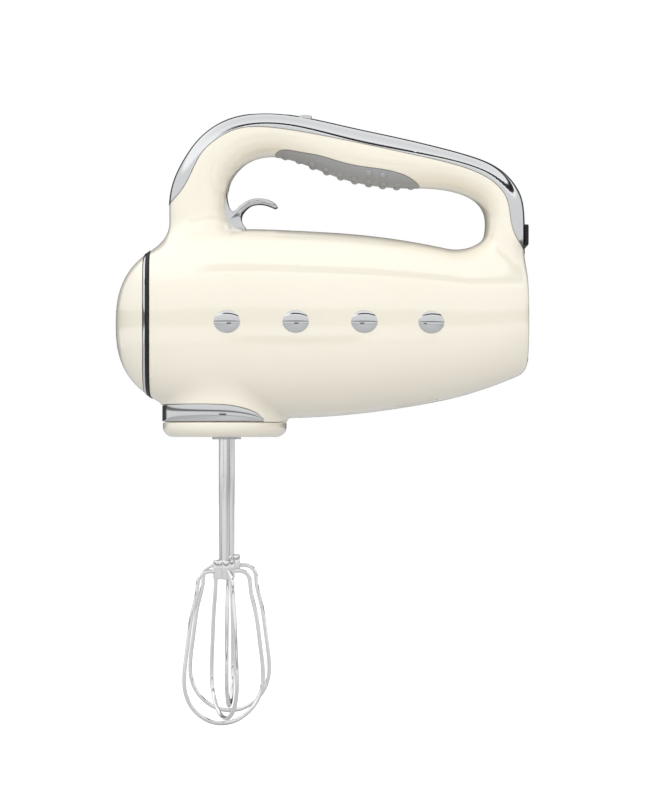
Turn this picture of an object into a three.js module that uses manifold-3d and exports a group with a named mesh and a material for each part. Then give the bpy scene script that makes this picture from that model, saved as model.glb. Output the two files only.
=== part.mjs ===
// Electric hand mixer with two wire beaters, in millimetres, +Z up.
// The origin is the centre of the flat drive face under the collar, between the two beaters.
// The nose points to -X, the heel to +X, and the mixer's left side is -Y.
import * as THREE from "three";
import { mergeVertices } from "three/addons/utils/BufferGeometryUtils.js";
import Module from "manifold-3d";

const wasm = await Module();
wasm.setup();

// ---------------------------------------------------------------- driving dimensions

const CLEARANCE = 0.3; // gap between pieces that touch

// casing
const HEEL_X = 158.8; // rear face, behind the beaters
const BODY_TOP_Z = 109.6; // highest point of the body
const HANDLE_RISE = 61.9; // from there to the highest point of the handle
const WALL = 2.4; // shell thickness
const SIDE_ROOM = 5.3; // free space between the worm wheels and the shell
const COVER_THICKNESS = 1.2; // chrome saddle on the handle
const TRIM_THICKNESS = 1.2; // chrome wrap on the collar
const RING_X = -42.7; // front of the two nose rings, on the centre plane
const RING_BOW_RADIUS = 270; // the rings bow forwards in plan
const TRIM_RING_WIDTH = 1.2;
const GASKET_WIDTH = 1.6;
const RING_RISE = 0.5; // how far the rings stand above the casing

// collar and drive face
const COLLAR_CENTRE_X = -1;
const COLLAR_HALF_LENGTH = 33;
const COLLAR_MARGIN = 17.5; // from a spindle's axis to the side of the collar
const COLLAR_POWER = 2.1; // squareness of the collar's oval
const COLLAR_SIDES = 24;
const COLLAR_TOP = 40; // the collar ends inside the body at this height
const BASE_HEIGHT = 7.6;
const COLLAR_TRIM_TOP = 16.7;

// drive
const BEATER_SPACING = 38; // between the two spindle axes
const GEAR_Z = 60; // height of the motor's axis
const WHEEL_TEETH = 24;
const WORM_STARTS = 2;
const WORM_RADIUS = 4; // pitch radius
const WORM_LENGTH = 20;
const WHEEL_FACE = 8;
const TOOTH_SHARE = 0.36; // tooth thickness over pitch, which leaves backlash
const FLANK_ANGLE = THREE.MathUtils.degToRad(20);
const SPINDLE_RADIUS = 5;
const SPINDLE_RIM_RADIUS = 6.1;
const SPINDLE_RIM_DROP = 1.2; // how far the rim stands below the drive face
const SHANK_RADIUS = 2.6; // beater shaft
const SHANK_GRIP = 45; // length of shaft inside the spindle

// motor
const SHAFT_RADIUS = 3;
const JOURNAL_RADIUS = 2.2;
const ROTOR_RADIUS = 14.6;
const STACK_LENGTH = 26;
const AIR_GAP = 0.6;
const STATOR_HALF_HEIGHT = 29;
const STATOR_HALF_WIDTH = 28;
const FAN_RADIUS = 20.5;
const COMMUTATOR_RADIUS = 10;
const COMMUTATOR_LENGTH = 11;
const ROTOR_SLOTS = 10; // and as many commutator bars
const FAN_BLADES = 9;
const FAN_HUB_RADIUS = 7;
const END_WINDING = 5.5;

// beaters
const HUB_TOP = -64;
const HUB_HEIGHT = 10;
const HUB_RADIUS = 5.8; // over the lugs
const LUG_WIDTH = 4.6;
const WIRE_RADIUS = 1.1;
const CAGE_RADIUS = 21.5;
const CAGE_BOTTOM = -149; // centre of the wire at the lowest point
const LEFT_BEATER_TURN = THREE.MathUtils.degToRad(22.5);

// trigger
const PIVOT = new THREE.Vector2(-3, 106.5);
const TRIGGER_WIDTH = 12;
const PIN_RADIUS = 1.5;
const PIN_BOSS = { radius: 4, near: 12.5, far: 20, webHalf: 1.2 };
const YOKE_THICKNESS = 3;
const YOKE_HALF_LENGTH = 4;
const YOKE_ROD_PLAY = 0.2; // the yoke's rods are this much thinner than the shanks

// ---------------------------------------------------------------- derived dimensions

const spindleY = BEATER_SPACING / 2;
const wheelRadius = spindleY - WORM_RADIUS; // pitch radius
const moduleSize = (2 * wheelRadius) / WHEEL_TEETH;
const axialPitch = Math.PI * moduleSize;
const lead = axialPitch * WORM_STARTS;
const addendum = moduleSize;
const dedendum = 1.25 * moduleSize;
const wheelTip = wheelRadius + addendum;
const casingHalfWidth = spindleY + wheelTip + SIDE_ROOM + WALL;
const collarHalfWidth = spindleY + COLLAR_MARGIN;
const handleWall = WALL + COVER_THICKNESS + CLEARANCE;
const ringsEnd = RING_X + TRIM_RING_WIDTH + GASKET_WIDTH + 2 * CLEARANCE;

const handleTopZ = BODY_TOP_Z + HANDLE_RISE;

// The outlines below are drawn to this length and rise, and fitted to the driving ones.
const DRAWN_HEEL_X = 158.8;
const DRAWN_RISE = 61.9;
const SHOULDER_Z = 130; // the posts stretch below this height, and what is above moves whole

/** A drawn X stretched to the real length behind the beaters. */
const alongBody = (x) => (x > 0 ? (x * HEEL_X) / DRAWN_HEEL_X : x);
/** A drawn Z fitted to the real rise of the handle above the body. */
const upHandle = (z) => {
  const share = THREE.MathUtils.clamp((z - BODY_TOP_Z) / (SHOULDER_Z - BODY_TOP_Z), 0, 1);
  return z + share * (HANDLE_RISE - DRAWN_RISE);
};
const outlinePoint = ([x, z]) => new THREE.Vector2(alongBody(x), upHandle(z));

// ---------------------------------------------------------------- solids

/** A closed three.js geometry as a manifold solid. */
function solid(geometry) {
  const bare = geometry.index ? geometry.toNonIndexed() : geometry.clone();
  bare.deleteAttribute("normal");
  bare.deleteAttribute("uv");
  const merged = mergeVertices(bare, 1e-4);
  const triVerts = new Uint32Array(merged.index.array);
  const vertProperties = merged.attributes.position.array;
  return new wasm.Manifold(new wasm.Mesh({ numProp: 3, vertProperties, triVerts }));
}

/** A manifold solid as a three.js geometry. */
function geometryOf(body) {
  const mesh = body.getMesh();
  const geometry = new THREE.BufferGeometry();
  geometry.setAttribute("position", new THREE.BufferAttribute(mesh.vertProperties, 3));
  geometry.setIndex(new THREE.BufferAttribute(mesh.triVerts, 1));
  geometry.computeVertexNormals();
  return geometry;
}

const union = (bodies) => bodies.reduce((all, body) => all.add(body));

/** A closed skin over rings with equal numbers of points, flat at both ends. */
function loft(rings) {
  const count = rings[0].length;
  const positions = rings.flat().flatMap((p) => [p.x, p.y, p.z]);
  const faces = [];
  for (let i = 0; i + 1 < rings.length; i++) {
    for (let j = 0; j < count; j++) {
      const a = i * count + j;
      const b = i * count + ((j + 1) % count);
      faces.push(a, b, b + count, a, b + count, a + count);
    }
  }
  const addCap = (ring, first, flipped) => {
    const centre = positions.length / 3;
    const middle = ring.reduce((sum, p) => sum.add(p), new THREE.Vector3()).divideScalar(count);
    positions.push(middle.x, middle.y, middle.z);
    for (let j = 0; j < count; j++) {
      const a = first + j;
      const b = first + ((j + 1) % count);
      faces.push(...(flipped ? [b, a, centre] : [a, b, centre]));
    }
  };
  addCap(rings[0], 0, true);
  addCap(rings.at(-1), (rings.length - 1) * count, false);
  const geometry = new THREE.BufferGeometry();
  geometry.setAttribute("position", new THREE.Float32BufferAttribute(positions, 3));
  geometry.setIndex(faces);
  return solid(geometry);
}

/** Points round a squared oval; place(a, b) puts each one in space. */
function ovalRing(count, halfA, halfB, power, place) {
  const bend = (value) => Math.sign(value) * Math.abs(value) ** (2 / power);
  return Array.from({ length: count }, (_, i) => {
    const angle = ((i + 0.5) * 2 * Math.PI) / count;
    return place(halfA * bend(Math.cos(angle)), halfB * bend(Math.sin(angle)));
  });
}

/** A box from its low and high corners. */
function box(x0, x1, y0, y1, z0, z1) {
  const geometry = new THREE.BoxGeometry(x1 - x0, y1 - y0, z1 - z0);
  return solid(geometry.translate((x0 + x1) / 2, (y0 + y1) / 2, (z0 + z1) / 2));
}

/** A round bar along Z, X or Y. */
function bar(axis, radius, from, to, centre = [0, 0], sides = 14) {
  const geometry = new THREE.CylinderGeometry(radius, radius, to - from, sides);
  const middle = (from + to) / 2;
  const [a, b] = centre;
  if (axis === "x") return solid(geometry.rotateZ(Math.PI / 2).translate(middle, a, b));
  if (axis === "y") return solid(geometry.translate(a, middle, b));
  return solid(geometry.rotateX(Math.PI / 2).translate(a, b, middle));
}

/** A ring-shaped bush along an axis. */
function bush(axis, outer, inner, from, to, centre, sides = 14) {
  const hole = bar(axis, inner, from - 1, to + 1, centre, sides);
  return bar(axis, outer, from, to, centre, sides).subtract(hole);
}

/** A side-view shape (X, Z) extruded along Y. */
function sideExtrude(shape, from, to, curveSegments = 4) {
  const options = { depth: to - from, bevelEnabled: false, steps: 1, curveSegments };
  const geometry = new THREE.ExtrudeGeometry(shape, options);
  return solid(geometry.rotateX(Math.PI / 2).translate(0, to, 0));
}

/** A front-view shape (Y, Z) extruded along X. */
function frontExtrude(shape, from, to, curveSegments = 6) {
  const options = { depth: to - from, bevelEnabled: false, steps: 1, curveSegments };
  const geometry = new THREE.ExtrudeGeometry(shape, options);
  const turn = new THREE.Matrix4().set(0, 0, 1, from, 1, 0, 0, 0, 0, 1, 0, 0, 0, 0, 0, 1);
  return solid(geometry.applyMatrix4(turn));
}

/** A turned solid about a vertical axis, from a profile of (radius, height) pairs. */
function turned(profile, centre = [0, 0], sides = 14) {
  const points = profile.map(([radius, height]) => new THREE.Vector2(radius, height));
  const geometry = new THREE.LatheGeometry(points, sides);
  return solid(geometry.rotateX(Math.PI / 2).translate(centre[0], centre[1], 0));
}

/** A round wire along a curve. */
function wire(curve, radius, steps, sides = 6) {
  const section = new THREE.Shape();
  for (let i = 0; i < sides; i++) {
    const angle = (i * 2 * Math.PI) / sides;
    const [x, y] = [radius * Math.cos(angle), radius * Math.sin(angle)];
    if (i === 0) section.moveTo(x, y);
    else section.lineTo(x, y);
  }
  return solid(new THREE.ExtrudeGeometry(section, { steps, extrudePath: curve }));
}

// ---------------------------------------------------------------- materials

const finish = (color, roughness, metalness = 0) =>
  new THREE.MeshStandardMaterial({ color, roughness, metalness });
const CREAM = finish("#f1eadb", 0.22);
const CHROME = finish("#d9dbdd", 0.1, 1);
const GREY_RUBBER = finish("#8f9090", 0.8);
const BLACK_RUBBER = finish("#1d1d1e", 0.7);
const STEEL = finish("#b9bcc0", 0.3, 1);
const STAINLESS = finish("#c9cbcd", 0.18, 1);
const ZINC = finish("#9a9ea2", 0.5, 1);
const BRONZE = finish("#a4763c", 0.4, 1);
const COPPER = finish("#b5602c", 0.35, 1);
const LAMINATION = finish("#7d8084", 0.5, 1);
const CARBON = finish("#2a2a2b", 0.6);
const NYLON = finish("#e8e5da", 0.5);
const BLACK_PLASTIC = finish("#232426", 0.5);
const BOARD_GREEN = finish("#1f5a3a", 0.5);
const SMOKED_LENS = finish("#15181b", 0.08);

const mixer = new THREE.Group();
mixer.name = "hand_mixer";

/** Adds one piece to the mixer as a named mesh. */
function addPiece(name, body, material) {
  const mesh = new THREE.Mesh(geometryOf(body), material);
  mesh.name = name;
  mixer.add(mesh);
}

// ---------------------------------------------------------------- casing outlines

// Stations along the body: drawn X, top, bottom, and how much narrower it is than the widest.
const BODY_STATIONS = [
  [-58.5, 61.2, 56.8, 41.2],
  [-57.3, 72.9, 46.0, 30.6],
  [-54.5, 81.7, 37.4, 22.4],
  [-50, 89.0, 29.8, 15.4],
  [-44, 94.6, 24.3, 10.2],
  [-38, 98.3, 19.8, 7.0],
  [-24, 104.3, 13.8, 3.4],
  [4, 109.6, 10.3, 0.7],
  [38, 108.9, 10.2, 0],
  [70, 106.8, 12.4, 1],
  [100, 102.8, 16.6, 4],
  [125, 97.6, 21.8, 8.5],
  [145, 92.2, 28.4, 13.2],
  [155, 88.8, 33.1, 16.2],
  [158.8, 86, 41.6, 21],
];
const BODY_POWER = 2.4; // squareness of the body's section
const HOLLOW_SIDES = 14; // facets round the body's hollow

const bodyHeights = new THREE.CatmullRomCurve3(
  BODY_STATIONS.map(([x, top, bottom]) => new THREE.Vector3(alongBody(x), top, bottom)),
  false,
  "catmullrom",
  0.5,
);
const bodyWidths = new THREE.CatmullRomCurve3(
  BODY_STATIONS.map(([x, , , narrower]) => {
    return new THREE.Vector3(alongBody(x), casingHalfWidth - narrower, 0);
  }),
  false,
  "catmullrom",
  0.5,
);

/** The body's outer form, drawn in by an inset; a hollow starts at front and ends inside the heel. */
function bodyForm(inset, sides = 18, perStation = 1.5) {
  const steps = Math.round((BODY_STATIONS.length - 1) * perStation);
  const rings = [];
  for (let i = 0; i <= steps; i++) {
    const { x, y: top, z: bottom } = bodyHeights.getPoint(i / steps);
    const halfHeight = (top - bottom) / 2 - inset;
    const halfWidth = bodyWidths.getPoint(i / steps).y - inset;
    const middle = (top + bottom) / 2;
    if (halfHeight <= 0 || halfWidth <= 0) continue;
    const place = (y, z) => new THREE.Vector3(Math.min(x, HEEL_X - inset), y, middle + z);
    rings.push(ovalRing(sides, halfWidth, halfHeight, BODY_POWER, place));
    if (x >= HEEL_X - inset) break;
  }
  return loft(rings);
}

// Stations round the handle, from the front post over the top to the heel:
// outer edge (X, Z), inner edge (X, Z), half width.
const HANDLE_STATIONS = [
  [-37.5, 97, 17, 98, 19],
  [-33.4, 106, 8.6, 109.5, 17.5],
  [-31.4, 115, 3.4, 118, 16.2],
  [-29.6, 128.5, 0.4, 128.5, 15.4],
  [-24.6, 142.5, 1.6, 135.4, 15],
  [-15.5, 157, 6, 142.2, 14.8],
  [-3, 166.2, 12.6, 147.3, 14.6],
  [12.5, 170.9, 20, 149.5, 14.5],
  [30, 171, 30, 149.3, 14.5],
  [48, 168.2, 43, 145.3, 14.5],
  [68, 163.9, 63, 137.6, 14.5],
  [90, 159, 87, 133.4, 14.6],
  [112, 153.6, 110, 132.9, 15],
  [132, 147.8, 123, 131, 15.8],
  [147, 139.8, 131.5, 126.6, 17],
  [156.2, 127.5, 136.8, 119.8, 18.4],
  [158.5, 112, 137.6, 111, 20],
  [158.6, 96, 133, 102.5, 21.5],
  [158.6, 78, 122, 92, 22],
];
const HANDLE_POWER = 2.6;

const rail = (toPoint) =>
  new THREE.CatmullRomCurve3(HANDLE_STATIONS.map(toPoint), false, "catmullrom", 0.5);
const outerRail = rail(([x, z, , , half]) => {
  return new THREE.Vector3(alongBody(x), half, upHandle(z));
});
const innerRail = rail(([, , x, z, half]) => {
  return new THREE.Vector3(alongBody(x), half, upHandle(z));
});

/** The handle's outer form, drawn in by an inset. */
function handleForm(inset, sides = 14) {
  const steps = HANDLE_STATIONS.length - 1;
  const rings = [];
  for (let i = 0; i <= steps; i++) {
    const outer = outerRail.getPoint(i / steps);
    const inner = innerRail.getPoint(i / steps);
    const halfWidth = outer.y - inset;
    outer.y = 0;
    inner.y = 0;
    const middle = outer.clone().add(inner).multiplyScalar(0.5);
    const across = outer.clone().sub(inner);
    const halfDepth = across.length() / 2 - inset;
    across.normalize();
    const place = (a, b) => {
      return middle.clone().addScaledVector(across, b).add(new THREE.Vector3(0, a, 0));
    };
    rings.push(ovalRing(sides, halfWidth, halfDepth, HANDLE_POWER, place));
  }
  return loft(rings);
}

/** Height of the handle's top at a place along it. */
function handleTopAt(x) {
  const samples = outerRail.getPoints(400).filter((p) => p.z > BODY_TOP_Z + 30);
  return samples.reduce((best, p) => (Math.abs(p.x - x) < Math.abs(best.x - x) ? p : best)).z;
}

/** The collar's oval form between two heights, drawn in by an inset. */
function collarForm(inset, from, to, sides = COLLAR_SIDES) {
  const ring = (z) => {
    const place = (a, b) => new THREE.Vector3(COLLAR_CENTRE_X + a, b, z);
    return ovalRing(sides, COLLAR_HALF_LENGTH - inset, collarHalfWidth - inset, COLLAR_POWER, place);
  };
  return loft([ring(from), ring(to)]);
}

/** Everything between two bowed surfaces that cross the centre plane at two places on X. */
function noseSlice(from, to) {
  const reach = casingHalfWidth;
  const arc = (x) => {
    const bow = (y) => x + RING_BOW_RADIUS - Math.sqrt(RING_BOW_RADIUS ** 2 - y ** 2);
    return [-1, -0.6, -0.2, 0.2, 0.6, 1].map((share) => {
      return new THREE.Vector2(bow(share * reach), share * reach);
    });
  };
  const shape = new THREE.Shape([...arc(from), ...arc(to).reverse()]);
  const height = 2 * BODY_TOP_Z;
  const options = { depth: height, bevelEnabled: false };
  return solid(new THREE.ExtrudeGeometry(shape, options).translate(0, 0, -height / 4));
}

// Lower edge of the chrome saddle, from its front point to its rear point.
const COVER_EDGE = [
  [-34, 121],
  [-25.7, 126.4],
  [-18.2, 137.5],
  [-11.3, 150.3],
  [-6, 155],
  [1.9, 160.3],
  [9.9, 163.3],
  [17.8, 163.2],
  [39, 160.9],
  [73.5, 153.7],
  [102.6, 147.3],
  [123.8, 141.8],
  [134.4, 137.5],
  [142.4, 132.2],
  [147.7, 125.3],
  [149.8, 113.7],
  [152, 105.5],
  [157, 98],
  [162, 90],
];

/** The space above the saddle's lower edge, let out downwards by a gap. */
function coverZone(gap) {
  const edge = COVER_EDGE.map(outlinePoint);
  const outside = [
    [175, 90],
    [175, 190],
    [-50, 190],
    [-50, 121],
  ].map(outlinePoint);
  const centre = outlinePoint([60, 100]);
  const moved = edge.map((p) => {
    const inwards = centre.clone().sub(p).normalize();
    return p.clone().addScaledVector(inwards, gap);
  });
  return sideExtrude(new THREE.Shape([...moved, ...outside]), -60, 60);
}

// Upper edge of the grip pad.
const PAD_EDGE = [
  [26.5, 146],
  [27.9, 150.5],
  [38, 149.9],
  [49.6, 147.6],
  [60.2, 144.4],
  [70.8, 142],
  [81.4, 140.5],
  [89.4, 138.9],
  [94.7, 136.7],
  [102.3, 133],
];

/** The space below the grip pad's upper edge, let out upwards by a gap. */
function padZone(gap) {
  const lift = (p) => new THREE.Vector2(p.x, p.y + gap);
  const edge = PAD_EDGE.map(outlinePoint).map(lift);
  edge[0].x -= gap;
  edge[1].x -= gap;
  edge.at(-1).x += gap;
  const below = [
    [104, 125],
    [26.5, 125],
  ].map(outlinePoint);
  below[0].x += gap;
  below[1].x -= gap;
  return sideExtrude(new THREE.Shape([...edge, ...below]), -60, 60);
}

// ---------------------------------------------------------------- controls

const BUTTONS = [
  { name: "turbo_button", x: 4, y: 0, radius: 4.6, rise: 0.7 },
  { name: "speed_up_button", x: 41.5, y: 5.2, radius: 3.9, rise: 1.5 },
  { name: "speed_down_button", x: 41.5, y: -5.2, radius: 3.9, rise: 1.5 },
  { name: "power_button", x: 54, y: 0, radius: 4.6, rise: 0.7 },
];
const BUTTON_TRAVEL = 1;
const STEM_RADIUS = 1.6;
const CAP_DEPTH = 4.5; // height of a button's cap
const CAP_EDGE = 0.8; // its sloping edge
const BOARD_THICKNESS = 1.6;
const BOARD_HALF_WIDTH = 7.6;
const BOARD_END = 4; // board beyond the first and last button's axis
const boardTop = handleTopAt(alongBody(BUTTONS.at(-1).x)) - handleWall - CAP_DEPTH;
const WINDOW = { x0: 12.5, x1: 33, half: 8 };

/** The space that the display window fills in the saddle. */
function windowZone(gap) {
  const [x0, x1] = [alongBody(WINDOW.x0) - gap, alongBody(WINDOW.x1) + gap];
  const half = WINDOW.half + gap;
  return box(x0, x1, -half, half, handleTopZ - 8, handleTopZ + 5);
}

function addControls() {
  for (const { name, x, y, radius, rise } of BUTTONS) {
    const top = handleTopAt(alongBody(x)) + rise;
    const profile = [
      [0, boardTop + BUTTON_TRAVEL + CLEARANCE],
      [STEM_RADIUS, boardTop + BUTTON_TRAVEL + CLEARANCE],
      [STEM_RADIUS, top - CAP_DEPTH],
      [radius, top - CAP_DEPTH],
      [radius, top - CAP_EDGE / 2],
      [radius - CAP_EDGE, top],
      [0, top],
    ];
    addPiece(name, turned(profile, [alongBody(x), y], 16), CHROME);
  }
  const lens = handleForm(0).subtract(handleForm(COVER_THICKNESS)).intersect(windowZone(0));
  addPiece("display_window", lens, SMOKED_LENS);
  const first = alongBody(BUTTONS[0].x) - BOARD_END;
  const last = alongBody(BUTTONS.at(-1).x) + BOARD_END;
  const underside = boardTop - BOARD_THICKNESS;
  const board = box(first, last, -BOARD_HALF_WIDTH, BOARD_HALF_WIDTH, underside, boardTop);
  const [screen0, screen1] = [alongBody(WINDOW.x0) + 1, alongBody(WINDOW.x1) - 1];
  const screenHalf = WINDOW.half - 1;
  const screen = box(screen0, screen1, -screenHalf, screenHalf, boardTop - 0.5, boardTop + 2.5);
  const chip = box(last - 16, last - 9, -4, 4, underside - 1.5, boardTop - 1);
  addPiece("control_board", union([board, screen, chip]), BOARD_GREEN);
}

// ---------------------------------------------------------------- trigger and ejector

const TRIGGER_FACE = [
  [-0.2, 129],
  [0.8, 123.8],
  [2, 121],
  [3.5, 119.6],
  [5.6, 120.7],
  [7.7, 122.7],
  [10.9, 124.9],
  [15.2, 126.3],
  [18, 126.4],
  [21.5, 125.9],
  [25, 124.4],
  [27, 122.7],
];
const TRIGGER_UNDERSIDE = [
  [25.6, 121.9],
  [22.6, 123.2],
  [18.9, 124.2],
  [15.7, 124.2],
  [12.5, 123.3],
  [10.1, 121.4],
  [8.3, 119],
  [7.7, 116.3],
  [8.5, 113.7],
  [9.9, 111.6],
];
const TRIGGER_INNER = [
  [10.5, 107.6],
  [3, 103],
  [-3, 101.8],
  [-8, 101.6],
  [-16, 99.8],
  [-18, 99.8],
  [-18, 102],
  [-8, 108],
  [-1.4, 113],
  [-2.2, 120],
  [-2.2, 129],
];
const ARM_X = -17; // where the trigger's inner arm presses on the yoke
const armZ = 99.8;
const yokeTop = armZ - CLEARANCE;

function addTrigger() {
  const outline = [...TRIGGER_FACE, ...TRIGGER_UNDERSIDE, ...TRIGGER_INNER];
  const shape = new THREE.Shape(outline.map(([x, z]) => new THREE.Vector2(x, z)));
  const half = TRIGGER_WIDTH / 2;
  const bore = bar("y", PIN_RADIUS + CLEARANCE, -half - 1, half + 1, PIVOT.toArray(), 16);
  addPiece("release_trigger", sideExtrude(shape, -half, half).subtract(bore), CHROME);
  const pinHalf = PIN_BOSS.near + 3.5;
  const pin = bar("y", PIN_RADIUS, -pinHalf, pinHalf, PIVOT.toArray(), 16);
  addPiece("trigger_pin", pin, STEEL);
  addPiece("trigger_spring", torsionSpring(half), STEEL);
}

const SPRING = { radius: 3, wire: 0.45, pitch: 1.3, turns: 3 };

/** A torsion spring on the pin, beside the trigger. */
function torsionSpring(half) {
  const { radius, pitch, turns } = SPRING;
  const perTurn = 10;
  const points = Array.from({ length: turns * perTurn + 1 }, (_, i) => {
    const angle = (i * 2 * Math.PI) / perTurn;
    const y = -half - 1 - (i * pitch) / perTurn;
    const [x, z] = [PIVOT.x + radius * Math.cos(angle), PIVOT.y + radius * Math.sin(angle)];
    return new THREE.Vector3(x, y, z);
  });
  return wire(new THREE.CatmullRomCurve3(points), SPRING.wire, turns * perTurn, 5);
}

function addYoke() {
  const rodRadius = SHANK_RADIUS - YOKE_ROD_PLAY;
  const bottom = yokeTop - YOKE_THICKNESS;
  const reach = spindleY + rodRadius;
  const bridge = box(-YOKE_HALF_LENGTH, YOKE_HALF_LENGTH, -reach, reach, bottom, yokeTop);
  const tab = box(ARM_X - 3, 0, -TRIGGER_WIDTH / 2, TRIGGER_WIDTH / 2, bottom, yokeTop);
  const rods = [-1, 1].map((side) => {
    return bar("z", rodRadius, SHANK_GRIP + CLEARANCE, yokeTop - 1, [0, side * spindleY], 12);
  });
  addPiece("ejector_yoke", union([bridge, tab, ...rods]), NYLON);
}

// ---------------------------------------------------------------- gearbox

const FRAME = {
  front: -26,
  wall: 5,
  wallHalf: 16,
  plate: 4,
  halfGap: 13,
  legZ: 23.5,
  legHeight: 5,
  legHalf: 6,
};
const frameHalfWidth = spindleY + 12;
const frameBottom = GEAR_Z - FRAME.halfGap - FRAME.plate;
const plateTop = GEAR_Z - FRAME.halfGap;
const coverBottom = GEAR_Z + FRAME.halfGap + CLEARANCE;
const coverTop = coverBottom + 3;
const spindleTop = coverTop + 2;
const rearWall = -FRAME.front - FRAME.wall;
const frameEnd = -FRAME.front;
const BUSH_RADIUS = 7.5;
const FRONT_BEARING_RADIUS = 6;
const BEARING_RADIUS = 8;

// Motor stations along X, each following the one before it.
const fanX = frameEnd + 5;
const FAN_LENGTH = 10;
const windingX = fanX + FAN_LENGTH + 3.5;
const stackX = windingX + END_WINDING + CLEARANCE;
const stackEnd = stackX + STACK_LENGTH;
const commutatorX = stackEnd + END_WINDING + 2 * CLEARANCE + 1.5;
const bracketX = commutatorX + COMMUTATOR_LENGTH + 4;
const BRACKET_WALL = 6;
const shaftEnd = bracketX + BRACKET_WALL + 1.5;

/** The two stacked supports that join a plate to the stator, above and below the shaft. */
function supportLegs(from, to) {
  const { legZ, legHeight, legHalf } = FRAME;
  return [-1, 1].map((side) => {
    const [low, high] = [GEAR_Z + side * legZ - legHeight / 2, GEAR_Z + side * legZ + legHeight / 2];
    return box(from, to, -legHalf, legHalf, low, high);
  });
}

function addGearbox() {
  const { front, wall, wallHalf, legZ, legHeight } = FRAME;
  const reach = legZ + legHeight / 2;
  let frame = union([
    box(front, frameEnd, -frameHalfWidth, frameHalfWidth, frameBottom, plateTop),
    box(front, front + wall, -wallHalf, wallHalf, plateTop - 1, GEAR_Z + FRAME.halfGap),
    box(rearWall, frameEnd, -wallHalf, wallHalf, GEAR_Z - reach, GEAR_Z + reach),
    ...supportLegs(frameEnd - 1, stackX - CLEARANCE),
  ]);
  const axle = [0, GEAR_Z];
  frame = frame
    .subtract(bar("x", FRONT_BEARING_RADIUS + CLEARANCE, front - 1, front + wall + 1, axle))
    .subtract(bar("x", BEARING_RADIUS + CLEARANCE, rearWall - 1, frameEnd + 1, axle));
  const coverHalf = frameHalfWidth;
  let cover = box(front, rearWall - CLEARANCE, -coverHalf, coverHalf, coverBottom, coverTop);
  for (const side of [-1, 1]) {
    const centre = [0, side * spindleY];
    frame = frame.subtract(bar("z", BUSH_RADIUS + CLEARANCE, frameBottom - 1, plateTop + 1, centre));
    cover = cover.subtract(bar("z", SPINDLE_RADIUS + CLEARANCE, 0, spindleTop, centre));
    const name = side < 0 ? "left" : "right";
    const inner = SPINDLE_RADIUS + CLEARANCE;
    const ring = bush("z", BUSH_RADIUS, inner, frameBottom, plateTop, centre);
    addPiece(`spindle_bush_${name}`, ring, BRONZE);
    addPiece(`spindle_${name}`, spindle(centre), STEEL);
    addPiece(`worm_wheel_${name}`, wormWheel(centre), NYLON);
  }
  addPiece("gearbox_frame", frame, ZINC);
  addPiece("gearbox_cover", cover, ZINC);
  const small = JOURNAL_RADIUS + CLEARANCE;
  const large = SHAFT_RADIUS + CLEARANCE;
  const frontBearing = bush("x", FRONT_BEARING_RADIUS, small, front, front + wall, axle);
  const middleBearing = bush("x", BEARING_RADIUS, large, rearWall, frameEnd, axle);
  addPiece("front_bearing", frontBearing, BRONZE);
  addPiece("middle_bearing", middleBearing, STEEL);
}

function spindle(centre) {
  const bore = SHANK_RADIUS + CLEARANCE + 0.05;
  const profile = [
    [bore, -SPINDLE_RIM_DROP],
    [SPINDLE_RIM_RADIUS, -SPINDLE_RIM_DROP],
    [SPINDLE_RIM_RADIUS, BASE_HEIGHT],
    [SPINDLE_RADIUS, BASE_HEIGHT + 1],
    [SPINDLE_RADIUS, spindleTop],
    [bore, spindleTop],
    [bore, -SPINDLE_RIM_DROP],
  ];
  return turned(profile, centre);
}

/** Half thickness of a tooth at a distance outside the pitch line. */
const halfTooth = (outside) => (TOOTH_SHARE * axialPitch) / 2 - outside * Math.tan(FLANK_ANGLE);

function wormWheel(centre) {
  const [root, tip] = [wheelRadius - dedendum, wheelTip];
  const slope = lead / (2 * Math.PI * WORM_RADIUS) / wheelRadius; // turn for each mm of height
  const rings = [-WHEEL_FACE / 2, WHEEL_FACE / 2].map((z) => {
    const ring = [];
    for (let tooth = 0; tooth < WHEEL_TEETH; tooth++) {
      const middle = ((tooth + 0.5) * 2 * Math.PI) / WHEEL_TEETH + slope * z;
      const corners = [
        [root, -halfTooth(-dedendum) / root],
        [tip, -halfTooth(addendum) / tip],
        [tip, halfTooth(addendum) / tip],
        [root, halfTooth(-dedendum) / root],
      ];
      for (const [radius, angle] of corners) {
        const turn = middle + angle;
        const [x, y] = [radius * Math.cos(turn), radius * Math.sin(turn)];
        ring.push(new THREE.Vector3(centre[0] + x, centre[1] + y, GEAR_Z + z));
      }
    }
    return ring;
  });
  const hubHeight = WHEEL_FACE + 6;
  const [low, high] = [GEAR_Z - hubHeight / 2, GEAR_Z + hubHeight / 2];
  const hub = bar("z", SPINDLE_RADIUS + 3, low, high, centre);
  const hole = bar("z", SPINDLE_RADIUS + CLEARANCE, low - 1, high + 1, centre);
  return loft(rings).add(hub).subtract(hole);
}

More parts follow.
